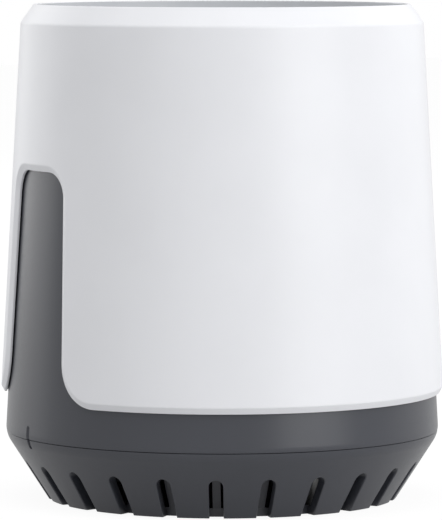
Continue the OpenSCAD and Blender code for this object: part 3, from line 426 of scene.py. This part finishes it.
def notch_outline():
    """The edge from a notch's middle down to the bottom edge, as (x, z, way into the wall)."""
    corner_x = NOTCH_HALF_W - NOTCH_CORNER_R * cos(NOTCH_FLARE)
    corner_z = NOTCH_TOP_Z - NOTCH_CORNER_R
    arc_z = FOOT_Z + NOTCH_FOOT_R
    drop = corner_z + NOTCH_CORNER_R * sin(NOTCH_FLARE) - arc_z - NOTCH_FOOT_R * sin(NOTCH_FLARE)
    arc_x = NOTCH_HALF_W + NOTCH_FOOT_R * cos(NOTCH_FLARE) + drop * tan(NOTCH_FLARE)
    top, corner, side, foot = 4, 14, 6, 16
    out = [(corner_x * i / top, NOTCH_TOP_Z, 0.0, 1.0) for i in range(top)]
    for i in range(corner + 1):
        a = pi / 2 - (pi / 2 - NOTCH_FLARE) * i / corner
        out.append((corner_x + NOTCH_CORNER_R * cos(a), corner_z + NOTCH_CORNER_R * sin(a), cos(a), sin(a)))
    x0, z0 = out[-1][:2]
    x1 = arc_x - NOTCH_FOOT_R * cos(NOTCH_FLARE)
    z1 = arc_z - NOTCH_FOOT_R * sin(NOTCH_FLARE)
    for i in range(1, side):
        t = i / side
        out.append((x0 + (x1 - x0) * t, z0 + (z1 - z0) * t, cos(NOTCH_FLARE), sin(NOTCH_FLARE)))
    for i in range(foot + 1):
        a = pi + NOTCH_FLARE + (pi / 2 - NOTCH_FLARE) * i / foot
        out.append((arc_x + NOTCH_FOOT_R * cos(a), arc_z + NOTCH_FOOT_R * sin(a), -cos(a), -sin(a)))
    return out, top + corner // 2


def plain_angle(k):
    """The angle of step k from the side of a notch's frame to a quarter turn from its middle."""
    return FRAME_ANGLE + (pi / 2 - FRAME_ANGLE) * k / PLAIN_STEPS


def build_shell(mat, shaded_mouth_mat, sizes):
    """The outer shell: two thumb notches, one bevel along the whole lower edge, a bevelled rim."""
    skin = Skin()
    outline, corner_at = notch_outline()
    # Edge profile over (way into the wall, way out of the face): face, bevel, cut face, inner face
    edge = rounded([
        (BAND_OUTSIDE, 0, 0), (sizes.edge_width / MM, 0, BEVEL_FILLET),
        (0, -sizes.edge_depth / MM, CUT_FILLET), (0, -SLEEVE_WALL, INNER_FILLET),
        (BAND_INSIDE, -SLEEVE_WALL, 0)])
    rim = rounded([
        (sleeve_at(FRAME_TOP_Z), FRAME_TOP_Z, 0), (sleeve_at(RIM_Z), RIM_Z, sizes.rim_fillet / MM),
        (LIP_R, HEIGHT, 0.5), (MOUTH_R, HEIGHT, 0.28), (MOUTH_R, SEAT_Z, 0.1), (SEAT_R, SEAT_Z, 0.1),
        (sleeve_at(FLANGE_Z) - SLEEVE_WALL, FLANGE_Z, 0.4),
        (sleeve_at(FRAME_TOP_Z) - SLEEVE_WALL, FRAME_TOP_Z, 0)])

    for middle in (pi, 0):
        for side in (1, -1):
            def spot(x, z, out, into=0.0, outward=1.0, way=(0.0, 1.0)):
                r = sleeve_at(z)
                a = middle + side * x / r
                face = Vector((cos(a) * cos(DRAFT), sin(a) * cos(DRAFT), sin(DRAFT)))
                round_way = Vector((-sin(a), cos(a), 0)) * side
                up = Vector((-cos(a) * sin(DRAFT), -sin(a) * sin(DRAFT), cos(DRAFT)))
                normal = face * outward + (round_way * way[0] + up * way[1]) * into
                return ((r + out) * cos(a), (r + out) * sin(a), z), normal

            # The band along the notch and the lower edge
            rows = []
            for d, out, into, outward in edge:
                row = [spot(x + mx * d, z + mz * d, out, into, outward, (mx, mz)) for x, z, mx, mz in outline]
                z = FOOT_Z + d
                foot_x = outline[-1][0]
                frame_x = FRAME_ANGLE * sleeve_at(z)
                row += [spot(foot_x + (frame_x - foot_x) * k / FRAME_STEPS, z, out, into, outward)
                        for k in range(1, FRAME_STEPS + 1)]
                row += [spot(plain_angle(k) * sleeve_at(z), z, out, into, outward)
                        for k in range(1, PLAIN_STEPS + 1)]
                rows.append(row)
            skin.grid(rows)

            # The outer and the inner face, from that band out to the frame and on to the quarter turn
            for d, out, into, outward in (edge[0], edge[-1]):
                inner = [(x + mx * d, z + mz * d) for x, z, mx, mz in outline]
                low_z = FOOT_Z + d
                frame_line = []
                for i, (x, z) in enumerate(inner):
                    if i <= corner_at:
                        frame_line.append((FRAME_ANGLE * i / corner_at * sleeve_at(FRAME_TOP_Z), FRAME_TOP_Z))
                    else:
                        share = (z - low_z) / (inner[corner_at][1] - low_z)
                        at_z = low_z + share * (FRAME_TOP_Z - low_z)
                        frame_line.append((FRAME_ANGLE * sleeve_at(at_z), at_z))
                rows = []
                n = FRAME_STEPS
                for k in range(n + 1):
                    rows.append([spot(x0 + (x1 - x0) * k / n, z0 + (z1 - z0) * k / n, out, 0, outward)
                                 for (x0, z0), (x1, z1) in zip(inner, frame_line)])
                skin.grid(rows)
                rows = []
                for x, z in frame_line[corner_at:]:
                    rows.append([spot(plain_angle(k) * sleeve_at(z), z, out, 0, outward)
                                 for k in range(PLAIN_STEPS + 1)])
                skin.grid(rows)

            # The wall above the frame, over the rim and down inside
            angles = [FRAME_ANGLE * i / corner_at for i in range(corner_at)]
            angles += [plain_angle(k) for k in range(PLAIN_STEPS + 1)]
            rows = []
            for r, z, nr, nz in rim:
                turned = [middle + side * a for a in angles]
                rows.append([((r * cos(a), r * sin(a), z), (nr * cos(a), nr * sin(a), nz)) for a in turned])
            skin.grid(rows)
    piece = skin.build("shell_moulding", mat, "collector", "white_abs", "collector_shell")
    # The wall inside the mouth is as polished as the funnel below it, and takes the funnel's darker colour as
    # painted shade
    piece.data.materials.append(shaded_mouth_mat)
    near = 0.02
    for face in piece.data.polygons:
        if face.center.xy.length < (MOUTH_R + near) * MM and face.center.z > SEAT_Z * MM:
            face.material_index = 1
    return piece


# The funnel

CONE_Z = HEIGHT - 13
CONE_WALL = FUNNEL_WALL * 1.35
THROAT_Z = 68.0
SPOUT_Z = 60.0
SPOUT_R = 3.6
FLANGE_R = SEAT_R - 0.1
FEET = 8
FEET_HALF_T = 0.8
FEET_W = 3


def build_funnel(mat):
    """The funnel: flange, mouth wall, cone and spout, with the feet that stand on the barrel."""
    skin = Skin()
    skin.lathe(rounded([
        (MOUTH_R, SEAT_Z, 0.1), (MOUTH_R, CONE_Z, 1.6), (SPOUT_R, THROAT_Z, 2.2), (SPOUT_R, SPOUT_Z, 0.3),
        (SPOUT_R + FUNNEL_WALL, SPOUT_Z, 0.3), (SPOUT_R + FUNNEL_WALL, THROAT_Z - CONE_WALL, 1.5),
        (MOUTH_R + FUNNEL_WALL, CONE_Z, 1.2), (MOUTH_R + FUNNEL_WALL, FLANGE_Z, 0.2),
        (FLANGE_R, FLANGE_Z, 0.15), (FLANGE_R, SEAT_Z, 0.15)], closed=True), 168)
    foot_in_r = MOUTH_R + FUNNEL_WALL / 2
    foot_out_r = MOUTH_R + FEET_W
    foot_low_z = BARREL_TOP_Z + SLEEVE_GAP
    line = rounded([
        (foot_in_r, FLANGE_Z, 0.1), (foot_in_r, CONE_Z, 0.2),
        (foot_out_r - FEET_W - FUNNEL_WALL, CONE_Z - FUNNEL_WALL, 0.2),
        (foot_out_r - FEET_W, foot_low_z, 0.3),
        (foot_out_r, foot_low_z, 0.3), (foot_out_r, CONE_Z, 0.3), (FLANGE_R, FLANGE_Z, 0.2)],
        closed=True, arc_steps=3)
    half = FEET_HALF_T
    soft = 0.2
    # Level across the foot, how far the outline draws in there, and how far the normals lean aside
    levels = ((-half, soft, 1), (-half + soft, 0, 0.0), (half - soft, 0, 0.0), (half, soft, -1))
    for i in range(FEET):
        a = (i + 0.5) * 2 * pi / FEET
        out = Vector((cos(a), sin(a), 0))
        aside = Vector((-sin(a), cos(a), 0))
        rows = []
        for level, inset, lean in levels:
            rows.append([(out * (r - nr * inset) + Vector((0, 0, z - nz * inset)) + aside * level,
                          out * nr * (1 - abs(lean)) + Vector((0, 0, nz)) * (1 - abs(lean)) - aside * lean)
                         for r, z, nr, nz in line])
        skin.grid(rows, closed=True)
        for row, facing in ((rows[0], -aside), (rows[-1], aside)):
            skin.add_face([skin.point(*pair) for pair in row], facing)
    return skin.build("funnel_moulding", mat, "collector", "white_abs", "funnel")


# The barrel and the base

BARREL_WALL = 1.6
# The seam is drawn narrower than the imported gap: the barrel's foot is lower and the base's top is higher
BARREL_LOWERED = 0.06
BASE_RAISED = 0.1
MARK_HALF_W = 0.55
MARK_LOW_Z = PARTING_Z - 2.2
MARK_HIGH_Z = PARTING_Z + 3.3
SLOT_HALF_W = 1.75
SLOT_ARC_Z = 8.4
SLOT_COUNT = 24
SPIGOT_R = 52.41
LUGS = 4
LUG_Z, LUG_H, LUG_W = 22.0, 2.0, 4.6
KNEE_CENTRE_R = SKIRT_FOOT_R + KNEE_LOW_Z * tan(LEAN) - KNEE_R * cos(LEAN)
KNEE_CENTRE_Z = KNEE_LOW_Z + KNEE_R * sin(LEAN)


def outside(z):
    """Radius and normal (r, z) of the grey outside at height z."""
    if z < KNEE_LOW_Z:
        return SKIRT_FOOT_R + z * tan(LEAN), cos(LEAN), -sin(LEAN)
    if z > KNEE_HIGH_Z:
        return barrel_at(z), cos(DRAFT), sin(DRAFT)
    rise = (z - KNEE_CENTRE_Z) / KNEE_R
    run = sqrt(1 - rise * rise)
    return KNEE_CENTRE_R + KNEE_R * run, run, rise


def smooth_step(value, low, high):
    """0 at low and 1 at high, with a soft start and end."""
    t = min(max((value - low) / (high - low), 0.0), 1.0)
    return t * t * (3 - 2 * t)


def mark_dip(x, z, depth):
    """Depth of the alignment mark at x round the barrel and height z: a groove with soft edges."""
    off = sqrt(x * x + max(z - (MARK_HIGH_Z - MARK_HALF_W), 0.0) ** 2)
    floor_w, top_w = 0.5, 1.6
    return depth * (1 - smooth_step(off, MARK_HALF_W * floor_w, MARK_HALF_W * top_w))


def build_barrel(mat, sizes):
    """The barrel, with the upper half of the alignment mark and the lugs that turn into the base."""
    skin = Skin()
    low_z = PARTING_Z + PARTING_GAP / 2 - BARREL_LOWERED
    low_r = outside(low_z)[0]
    # Fine columns and rows round the mark, plain ones elsewhere
    fine = radians(2.0)
    fine_columns, plain_columns, fine_rows = 36, 150, 30
    angles = [-fine + 2 * fine * i / fine_columns for i in range(fine_columns)]
    angles += [fine + (2 * pi - 2 * fine) * i / plain_columns for i in range(plain_columns)]
    foot_h, over_mark, lip_h = 0.2, 1.2, 0.6
    fine_h = MARK_HIGH_Z + over_mark - low_z - foot_h
    heights = [low_z + foot_h + fine_h * i / fine_rows for i in range(fine_rows + 1)]
    heights += [30.0, 45.0, 60.0, 75.0, 90.0, BARREL_TOP_Z - lip_h]
    foot = rounded([(low_r - BARREL_WALL, low_z, 0.2), (low_r, low_z, 0.18), (low_r + 0.01, low_z + 1.0, 0)])
    line = [p for p in foot if p[1] < low_z + foot_h] + [(outside(z)[0], z, *outside(z)[1:]) for z in heights]
    top_r = barrel_at(BARREL_TOP_Z)
    top = rounded([(barrel_at(BARREL_TOP_Z - lip_h), BARREL_TOP_Z - lip_h, 0), (top_r, BARREL_TOP_Z, 0.45),
                   (top_r - BARREL_WALL, BARREL_TOP_Z, 0.45), (low_r - BARREL_WALL, low_z, 0)])
    line += top[1:]
    rows = []
    step = 0.01
    deep = sizes.mark_depth / MM
    for r, z, nr, nz in line:
        row = []
        outer = nr > 0.2 or z < low_z + foot_h / 2
        for turn in angles:
            a = pi + turn
            x = turn * r
            dip = mark_dip(x, z, deep) if outer and abs(turn) <= fine * 1.01 else 0.0
            # Under the foot the groove fades inwards
            dip *= smooth_step(r, low_r - 0.5, low_r - 0.15) if z < low_z + foot_h else 1.0
            along = (mark_dip(x + step, z, deep) - mark_dip(x - step, z, deep)) / (2 * step) if dip else 0.0
            up = (mark_dip(x, z + step, deep) - mark_dip(x, z - step, deep)) / (2 * step) if dip else 0.0
            normal = Vector((cos(a) * nr, sin(a) * nr, nz))
            normal = normal + Vector((-sin(a), cos(a), 0)) * along + Vector((0, 0, 1)) * up
            row.append((((r - dip) * cos(a), (r - dip) * sin(a), z), normal))
        rows.append(row)
    skin.grid(rows, closed=True)
    far, near, soft = barrel_at(LUG_Z) - BARREL_WALL / 2, SPIGOT_R - 1.5, 0.3
    outline = rounded([(-LUG_W / 2, LUG_Z - LUG_H / 2, soft), (LUG_W / 2, LUG_Z - LUG_H / 2, soft),
                       (LUG_W / 2, LUG_Z + LUG_H / 2, soft), (-LUG_W / 2, LUG_Z + LUG_H / 2, soft)],
                      closed=True, arc_steps=3)
    for i in range(LUGS):
        a = (i + 0.5) * 2 * pi / LUGS
        out = Vector((cos(a), sin(a), 0))
        aside = Vector((-sin(a), cos(a), 0))
        rows = []
        for r, inset, lean in ((far, 0, 0), (near + soft, 0, 0), (near, soft, 1)):
            rows.append([(out * r + aside * (y - ny * inset) + Vector((0, 0, z - nz * inset)),
                          (aside * ny + Vector((0, 0, nz))) * (1 - lean) - out * lean)
                         for y, z, ny, nz in outline])
        skin.grid(rows, closed=True)
        for row, facing in ((rows[0], out), (rows[-1], -out)):
            skin.add_face([skin.point(*pair) for pair in row], facing)
    return skin.build("barrel_moulding", mat, "barrel", "grey_abs", "barrel")


# Points nearer than this, in metres, are one
SAME_PLACE = 1e-6
# The base's outside is followed up to this height
BASE_HIGH_Z = 19.0
# The cutter's arc ends this many degrees round, and goes on straight from there to clear the face
ARC_END = 68
ARC_TURNS = (0, 14, 28, 42, 56, ARC_END)
CLEAR_OUT, FAR_OUT = 0.3, 1.2


def edge_cutter(skin, outline, turn, soft):
    """A form that, taken out of a wall, rounds the edge of an opening with the given outline.

    The outline holds (y, z, way into the wall) and stands on the -X side before the turn."""
    arcs = [radians(a) for a in ARC_TURNS]
    hollow = -0.03
    profile = [(hollow, soft + 0.35), (hollow, soft + 0.05)]
    profile += [(soft * (1 - cos(a)), soft * (1 - sin(a))) for a in arcs]
    slope = tan(radians(90 - ARC_END))
    d, t = profile[-1]
    profile += [(d + (t + CLEAR_OUT) / slope, -CLEAR_OUT), (d + (t + CLEAR_OUT) / slope, -FAR_OUT)]
    rows = []
    for d, t in profile:
        row = []
        for y, z, my, mz in outline:
            py, pz = y + my * d, z + mz * d
            r = outside(min(max(pz, -3.0), BASE_HIGH_Z))[0] - t
            x = -sqrt(r * r - py * py)
            row.append(((x * cos(turn) - py * sin(turn), x * sin(turn) + py * cos(turn), pz), (0, 0, 1)))
        rows.append(row)
    ids = [[skin.point(*pair) for pair in row] for row in rows]
    n = len(outline)
    for low, high in zip(ids, ids[1:]):
        for i in range(n):
            j = (i + 1) % n
            skin.faces.append([low[i], low[j], high[j], high[i]])
    for ring, back in ((ids[0], True), (ids[-1], False)):
        middle = sum((skin.points[i] for i in ring), Vector()) / n
        skin.points.append(middle)
        skin.normals.append(Vector((0, 0, 1)))
        m = len(skin.points) - 1
        for i in range(n):
            j = (i + 1) % n
            skin.faces.append([ring[j], ring[i], m] if back else [ring[i], ring[j], m])


def build_base(mat, sizes):
    """The base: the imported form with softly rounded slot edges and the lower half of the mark."""
    cutter = Skin()
    slot = [(SLOT_HALF_W, z, 1.0, 0.0) for z in (-1.0, 1.5, 4.0, 6.5)]
    slot += [(SLOT_HALF_W * cos(a), SLOT_ARC_Z + SLOT_HALF_W * sin(a), cos(a), sin(a))
             for a in (pi * i / 12 for i in range(13))]
    slot += [(-SLOT_HALF_W, z, -1.0, 0.0) for z in (6.5, 4.0, 1.5, -1.0)]
    for i in range(SLOT_COUNT):
        edge_cutter(cutter, slot, i * 2 * pi / SLOT_COUNT, sizes.slot_edge / MM)
    half, low, corner, soft = MARK_HALF_W, MARK_LOW_Z, 0.3, 0.28
    mark_heights = (18.5, 17.0, 16.0)
    mark = [(half, z, 1.0, 0.0) for z in mark_heights]
    mark += [(half - corner + corner * cos(a), low + corner + corner * sin(a), cos(a), sin(a))
             for a in (-pi / 2 * i / 4 for i in range(5))]
    mark += [(-half + corner - corner * cos(a), low + corner + corner * sin(a), -cos(a), sin(a))
             for a in (-pi / 2 + pi / 2 * i / 4 for i in range(5))]
    mark += [(-half, z, -1.0, 0.0) for z in reversed(mark_heights)]
    edge_cutter(cutter, mark[::-1], 0.0, soft)
    mesh = carved("base", cutter)
    top_z = (PARTING_Z - PARTING_GAP / 2) * MM
    # Only the ring outside the spigot is raised
    ring_in_r = 53.5
    for v in mesh.vertices:
        if abs(v.co.z - top_z) < SAME_PLACE and v.co.xy.length > ring_in_r * MM:
            v.co.z += BASE_RAISED * MM
    true_normals(mesh, "base")
    return place_piece("base_moulding", mesh, mat, "base", "grey_abs", "base")


def carved(node, cutter):
    """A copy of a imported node's mesh with the cutter's forms taken out."""
    mesh = NODES[node].data.copy()
    mesh.transform(NODES[node].matrix_world)
    work = bmesh.new()
    work.from_mesh(mesh)
    bmesh.ops.remove_doubles(work, verts=work.verts, dist=SAME_PLACE)
    work.to_mesh(mesh)
    work.free()
    tool_mesh = bpy.data.meshes.new("cutter")
    tool_mesh.from_pydata(cutter.points, [], cutter.faces)
    work = bmesh.new()
    work.from_mesh(tool_mesh)
    bmesh.ops.recalc_face_normals(work, faces=work.faces)
    work.to_mesh(tool_mesh)
    work.free()
    tool = bpy.data.objects.new("cutter", tool_mesh)
    whole = bpy.data.objects.new("whole", mesh)
    for obj in (tool, whole):
        bpy.context.scene.collection.objects.link(obj)
    cut = whole.modifiers.new("cut", "BOOLEAN")
    cut.operation = "DIFFERENCE"
    cut.solver = "EXACT"
    cut.object = tool
    graph = bpy.context.evaluated_depsgraph_get()
    result = bpy.data.meshes.new_from_object(whole.evaluated_get(graph))
    bpy.data.objects.remove(whole)
    bpy.data.objects.remove(tool)
    return result


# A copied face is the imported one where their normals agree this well
SAME_FACING = 0.9999
# An edge is sharp where its faces turn by more than this
SHARP = radians(32)


def place_key(co):
    """A place in steps of 0.005 mm, so that the same corner can be found in two meshes."""
    return tuple(round(c * 2e5) for c in co)


def true_normals(mesh, node):
    """Smooth shading between sharp edges.

    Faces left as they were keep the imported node's normals, and the turned outside has its own true ones."""
    packed = NODES[node].data
    shading = [n.vector.copy() for n in packed.corner_normals]
    known = {}
    for face in packed.polygons:
        for k in face.loop_indices:
            place = place_key(packed.vertices[packed.loops[k].vertex_index].co)
            known.setdefault(place, []).append((face.normal.copy(), shading[k]))
    mesh.shade_smooth()
    mesh.set_sharp_from_angle(angle=SHARP)
    normals = [n.vector.copy() for n in mesh.corner_normals]
    near = 0.05
    for face in mesh.polygons:
        for k in face.loop_indices:
            co = mesh.vertices[mesh.loops[k].vertex_index].co
            for facing, normal in known.get(place_key(co), ()):
                if facing.dot(face.normal) > SAME_FACING:
                    normals[k] = normal
            co = co / MM
            r = co.xy.length
            z = min(max(co.z, 0.0), BASE_HIGH_Z)
            out_r, nr, nz = outside(z)
            if abs(r - out_r) > near:
                continue
            true = Vector((co.x / r * nr, co.y / r * nr, nz))
            if true.dot(face.normal) > cos(SHARP):
                normals[k] = true
    mesh.normals_split_custom_set(normals)


# Settings that a user would change

class ShellSettings(bpy.types.PropertyGroup):
    colour: bpy.props.FloatVectorProperty(
        name="Shell colour", description="Colour of the white outer shell", subtype="COLOR",
        default=linear("#e9eaee")[:3], min=0, max=1)
    # The funnel and the wall inside the mouth are a shade darker than the shell: painted shade for the dim
    # inside of the mouth
    shaded_mouth_colour: bpy.props.FloatVectorProperty(
        name="Funnel colour", description="Colour of the funnel and of the wall inside the mouth",
        subtype="COLOR", default=linear("#c6c8cc")[:3], min=0, max=1)
    rim_fillet: bpy.props.FloatProperty(
        name="Rim fillet", description="Radius where the wall turns into the rim's bevel",
        default=1.5 * MM, min=0.3 * MM, max=2.4 * MM, unit="LENGTH", precision=5)
    edge_width: bpy.props.FloatProperty(
        name="Lower bevel width", description="Width of the bevel along the lower edge and the notches",
        default=1.6 * MM, min=0.8 * MM, max=2.4 * MM, unit="LENGTH", precision=5)
    edge_depth: bpy.props.FloatProperty(
        name="Lower bevel depth", description="How far that bevel goes into the wall",
        default=0.95 * MM, min=0.4 * MM, max=1.2 * MM, unit="LENGTH", precision=5)


class BodySettings(bpy.types.PropertyGroup):
    colour: bpy.props.FloatVectorProperty(
        name="Body colour", description="Colour of the barrel, base, strainer and battery door",
        subtype="COLOR", default=linear("#3f4148")[:3], min=0, max=1)
    slot_edge: bpy.props.FloatProperty(
        name="Slot edge", description="Radius of the drain slots' outer edges",
        default=0.38 * MM, min=0.2 * MM, max=0.75 * MM, unit="LENGTH", precision=5)
    mark_depth: bpy.props.FloatProperty(
        name="Mark depth", description="Depth of the alignment mark's upper half",
        default=0.45 * MM, min=0.1 * MM, max=0.7 * MM, unit="LENGTH", precision=5)


class WorksSettings(bpy.types.PropertyGroup):
    colour: bpy.props.FloatVectorProperty(
        name="Works colour", description="Colour of the deck, bucket and electronics case", subtype="COLOR",
        default=linear("#232527")[:3], min=0, max=1)
    soft_edge: bpy.props.FloatProperty(
        name="Soft edge", description="Edge width on the small inside pieces",
        default=0.12 * MM, min=0.05 * MM, max=0.2 * MM, unit="LENGTH", precision=5)


class StudioSettings(bpy.types.PropertyGroup):
    lens: bpy.props.FloatProperty(
        name="Lens", description="Focal length on a 36 mm high sensor", default=300.9, unit="CAMERA")
    distance: bpy.props.FloatProperty(
        name="Distance", description="Level distance of the camera from the axis", default=1.1, unit="LENGTH")
    azimuth: bpy.props.FloatProperty(
        name="Azimuth", description="Turn of the camera round the object",
        default=radians(-28.2), subtype="ANGLE")
    pitch: bpy.props.FloatProperty(
        name="Pitch", description="Downward tilt of the camera", default=radians(4.48), subtype="ANGLE")
    eye_height: bpy.props.FloatProperty(
        name="Eye height", description="Height of the camera above the floor", default=0.1462, unit="LENGTH")


# Operators

# How far the level's spirit stands clear of its cup and window
SPIRIT_GAP_MM = 0.02


class RAIN_OT_shell(bpy.types.Operator):
    """Builds the white outer shell with its notches and rim"""
    bl_idname = "rain.shell"
    bl_label = "Outer Shell"

    def execute(self, context):
        build_shell(FINISH["shell"], FINISH["mouth"], context.scene.rain_shell)
        return {"FINISHED"}


class RAIN_OT_barrel(bpy.types.Operator):
    """Builds the grey barrel with its alignment mark"""
    bl_idname = "rain.barrel"
    bl_label = "Barrel"

    def execute(self, context):
        build_barrel(FINISH["body"], context.scene.rain_body)
        return {"FINISHED"}


class RAIN_OT_base(bpy.types.Operator):
    """Builds the slotted base with its softly rounded edges"""
    bl_idname = "rain.base"
    bl_label = "Base"

    def execute(self, context):
        build_base(FINISH["body"], context.scene.rain_body)
        return {"FINISHED"}


class RAIN_OT_funnel(bpy.types.Operator):
    """Builds the funnel inside the shell"""
    bl_idname = "rain.funnel"
    bl_label = "Funnel"

    def execute(self, context):
        build_funnel(FINISH["mouth"])
        return {"FINISHED"}


class RAIN_OT_finishes(bpy.types.Operator):
    """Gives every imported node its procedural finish"""
    bl_idname = "rain.finishes"
    bl_label = "Finishes"

    def execute(self, context):
        scene = context.scene
        FINISH.update(make_materials(scene.rain_shell, scene.rain_body, scene.rain_works))
        for node, key in FINISHES.items():
            dress(node, FINISH[key], 0.0 if node in SMOOTH_NODES else scene.rain_works.soft_edge)
        # The spirit draws back a hair from its cup and window, so that no two faces lie on each other
        gap = NODES["level_fluid"].modifiers.new("gap", "DISPLACE")
        gap.mid_level = 0.0
        gap.strength = -SPIRIT_GAP_MM * MM
        return {"FINISHED"}


# Lamps: azimuth and elevation in degrees, distance and size in metres, power in watts, seen in reflections
LAMPS = {
    "key": (20, 22, 1.3, (0.9, 1.3), 9.0, True),
    "left back": (-158, 9, 1.3, (1.2, 1.4), 6.1, True),
    "right back": (98, 15, 1.3, (1.2, 1.4), 1.8, True),
    "right fill": (98, 15, 1.31, (1.2, 1.4), 3.9, False),
    "overhead": (-95, 76, 1.2, (1.2, 1.2), 4.3, True),
}
LAMP_AIM = (0, 0, 0.06)
FLOOR_HALF = 3.0
FLOOR_DROP = 0.0002
# The floor's white: its strength, the share of it that the camera sees, and what mirrors see of that
FLOOR_WHITE, FLOOR_SHARE, FLOOR_MIRRORED = 1.15, 0.8, 0.45
# The surroundings' strength as light, and in mirrors
WORLD_LIT, WORLD_MIRRORED = 0.63, 0.7
# The photograph's size and the column on which the object's axis stands, in pixels
PHOTO_W, PHOTO_H, AXIS_COLUMN = 442, 520, 222.18
SENSOR_H = 36.0


def area_light(name, azimuth, elevation, distance, size, power, mirrored):
    """A soft lamp at azimuth and elevation in degrees, measured as for the camera, aimed at the object."""
    data = bpy.data.lights.new(name, "AREA")
    data.shape = "RECTANGLE"
    data.size, data.size_y = size
    data.energy = power
    obj = bpy.data.objects.new(name, data)
    bpy.context.scene.collection.objects.link(obj)
    a = radians(azimuth)
    e = radians(elevation)
    at = Vector(LAMP_AIM) + distance * Vector((sin(a) * cos(e), -cos(a) * cos(e), sin(e)))
    obj.location = at
    obj.rotation_euler = (Vector(LAMP_AIM) - at).to_track_quat("-Z", "Y").to_euler()
    obj.visible_glossy = mirrored


def paper_floor():
    """A pale floor that shows white to the camera, and keeps part of the object's shadow."""
    mat, tree, out, place = new_material("matt white paper sweep")
    fibre = add_node(tree, "ShaderNodeTexNoise", {"Vector": place, "Scale": per_metre(6), "Detail": 2.0})
    paper = add_node(tree, "ShaderNodeMix", {
        0: fibre.outputs["Fac"], MIX_A: linear("#b9b9b9"), MIX_B: linear("#bfbfbf")}, data_type="RGBA")
    matt = add_node(tree, "ShaderNodeBsdfDiffuse", {"Color": paper.outputs[MIX_OUT]})
    white = add_node(tree, "ShaderNodeEmission", {"Color": linear("#ffffff"), "Strength": FLOOR_WHITE})
    path = add_node(tree, "ShaderNodeLightPath")
    share = add_node(tree, "ShaderNodeMath", {
        0: path.outputs["Is Glossy Ray"], 1: FLOOR_MIRRORED, 2: path.outputs["Is Camera Ray"]},
        operation="MULTIPLY_ADD")
    share = add_node(tree, "ShaderNodeMath", {
        0: share.outputs["Value"], 1: path.outputs["Is Transmission Ray"]}, operation="ADD")
    share = add_node(tree, "ShaderNodeMath", {
        0: share.outputs["Value"], 1: FLOOR_SHARE}, operation="MULTIPLY")
    mix = add_node(tree, "ShaderNodeMixShader", {
        0: share.outputs["Value"], 1: matt.outputs["BSDF"], 2: white.outputs["Emission"]})
    tree.links.new(mix.outputs["Shader"], out.inputs["Surface"])
    mesh = bpy.data.meshes.new("floor")
    half = FLOOR_HALF
    corners = [(-half, -half, 0), (half, -half, 0), (half, half, 0), (-half, half, 0)]
    mesh.from_pydata(corners, [], [(0, 1, 2, 3)])
    floor = bpy.data.objects.new("floor", mesh)
    bpy.context.scene.collection.objects.link(floor)
    mesh.materials.append(mat)
    floor.location.z = -FLOOR_DROP


def white_surroundings(scene):
    """A world that lights the object softly, and is white to the camera and through clear pieces."""
    world = bpy.data.worlds.new("white surroundings")
    scene.world = world
    world.use_nodes = True
    tree = world.node_tree
    tree.nodes.clear()
    path = add_node(tree, "ShaderNodeLightPath")
    strength = add_node(tree, "ShaderNodeMath", {
        0: path.outputs["Is Glossy Ray"], 1: WORLD_MIRRORED - WORLD_LIT, 2: WORLD_LIT},
        operation="MULTIPLY_ADD")
    for seen in ("Is Camera Ray", "Is Transmission Ray"):
        strength = add_node(tree, "ShaderNodeMath", {
            0: path.outputs[seen], 1: 1 - WORLD_LIT, 2: strength.outputs["Value"]}, operation="MULTIPLY_ADD")
    back = add_node(tree, "ShaderNodeBackground", {
        "Color": linear("#ffffff"), "Strength": strength.outputs["Value"]})
    add_node(tree, "ShaderNodeOutputWorld", {"Surface": back.outputs["Background"]})


def place_camera(scene, settings):
    """A long lens that sees the object as the photograph does."""
    data = bpy.data.cameras.new("camera")
    data.sensor_fit = "VERTICAL"
    data.sensor_height = SENSOR_H
    data.lens = settings.lens
    data.shift_x = -(AXIS_COLUMN - PHOTO_W / 2) / PHOTO_H
    camera = bpy.data.objects.new("camera", data)
    scene.collection.objects.link(camera)
    a = settings.azimuth
    camera.location = (settings.distance * sin(a), -settings.distance * cos(a), settings.eye_height)
    camera.rotation_euler = (pi / 2 - settings.pitch, 0, a)
    scene.camera = camera


class RAIN_OT_stage(bpy.types.Operator):
    """Sets up the pale floor, the soft lamps, the white surroundings and the camera"""
    bl_idname = "rain.stage"
    bl_label = "Stage"

    def execute(self, context):
        scene = context.scene
        scene.view_settings.view_transform = "Standard"
        paper_floor()
        for name, values in LAMPS.items():
            area_light(name, *values)
        white_surroundings(scene)
        place_camera(scene, scene.rain_studio)
        return {"FINISHED"}


class RAIN_PT_panel(bpy.types.Panel):
    """The steps, in order"""
    bl_label = "Rain Sensor"
    bl_idname = "RAIN_PT_panel"
    bl_space_type = "VIEW_3D"
    bl_region_type = "UI"
    bl_category = "Rain Sensor"

    def draw(self, context):
        for name, group in GROUPS.items():
            box = self.layout.box()
            for setting in group.__annotations__:
                box.prop(getattr(context.scene, name), setting)
        for step in STEPS:
            self.layout.operator(step.bl_idname)


STEPS = (RAIN_OT_finishes, RAIN_OT_shell, RAIN_OT_funnel, RAIN_OT_barrel, RAIN_OT_base, RAIN_OT_stage)
GROUPS = {
    "rain_shell": ShellSettings,
    "rain_body": BodySettings,
    "rain_works": WorksSettings,
    "rain_studio": StudioSettings,
}
CLASSES = (*GROUPS.values(), *STEPS, RAIN_PT_panel)


def register():
    for cls in CLASSES:
        bpy.utils.register_class(cls)
    for name, group in GROUPS.items():
        setattr(bpy.types.Scene, name, bpy.props.PointerProperty(type=group))


def unregister():
    for name in GROUPS:
        delattr(bpy.types.Scene, name)
    for cls in reversed(CLASSES):
        bpy.utils.unregister_class(cls)


def main():
    register()
    bpy.ops.rain.finishes()
    bpy.ops.rain.shell()
    bpy.ops.rain.funnel()
    bpy.ops.rain.barrel()
    bpy.ops.rain.base()
    bpy.ops.rain.stage()
    bpy.context.view_layer.update()


if __name__ == "__main__":
    main()
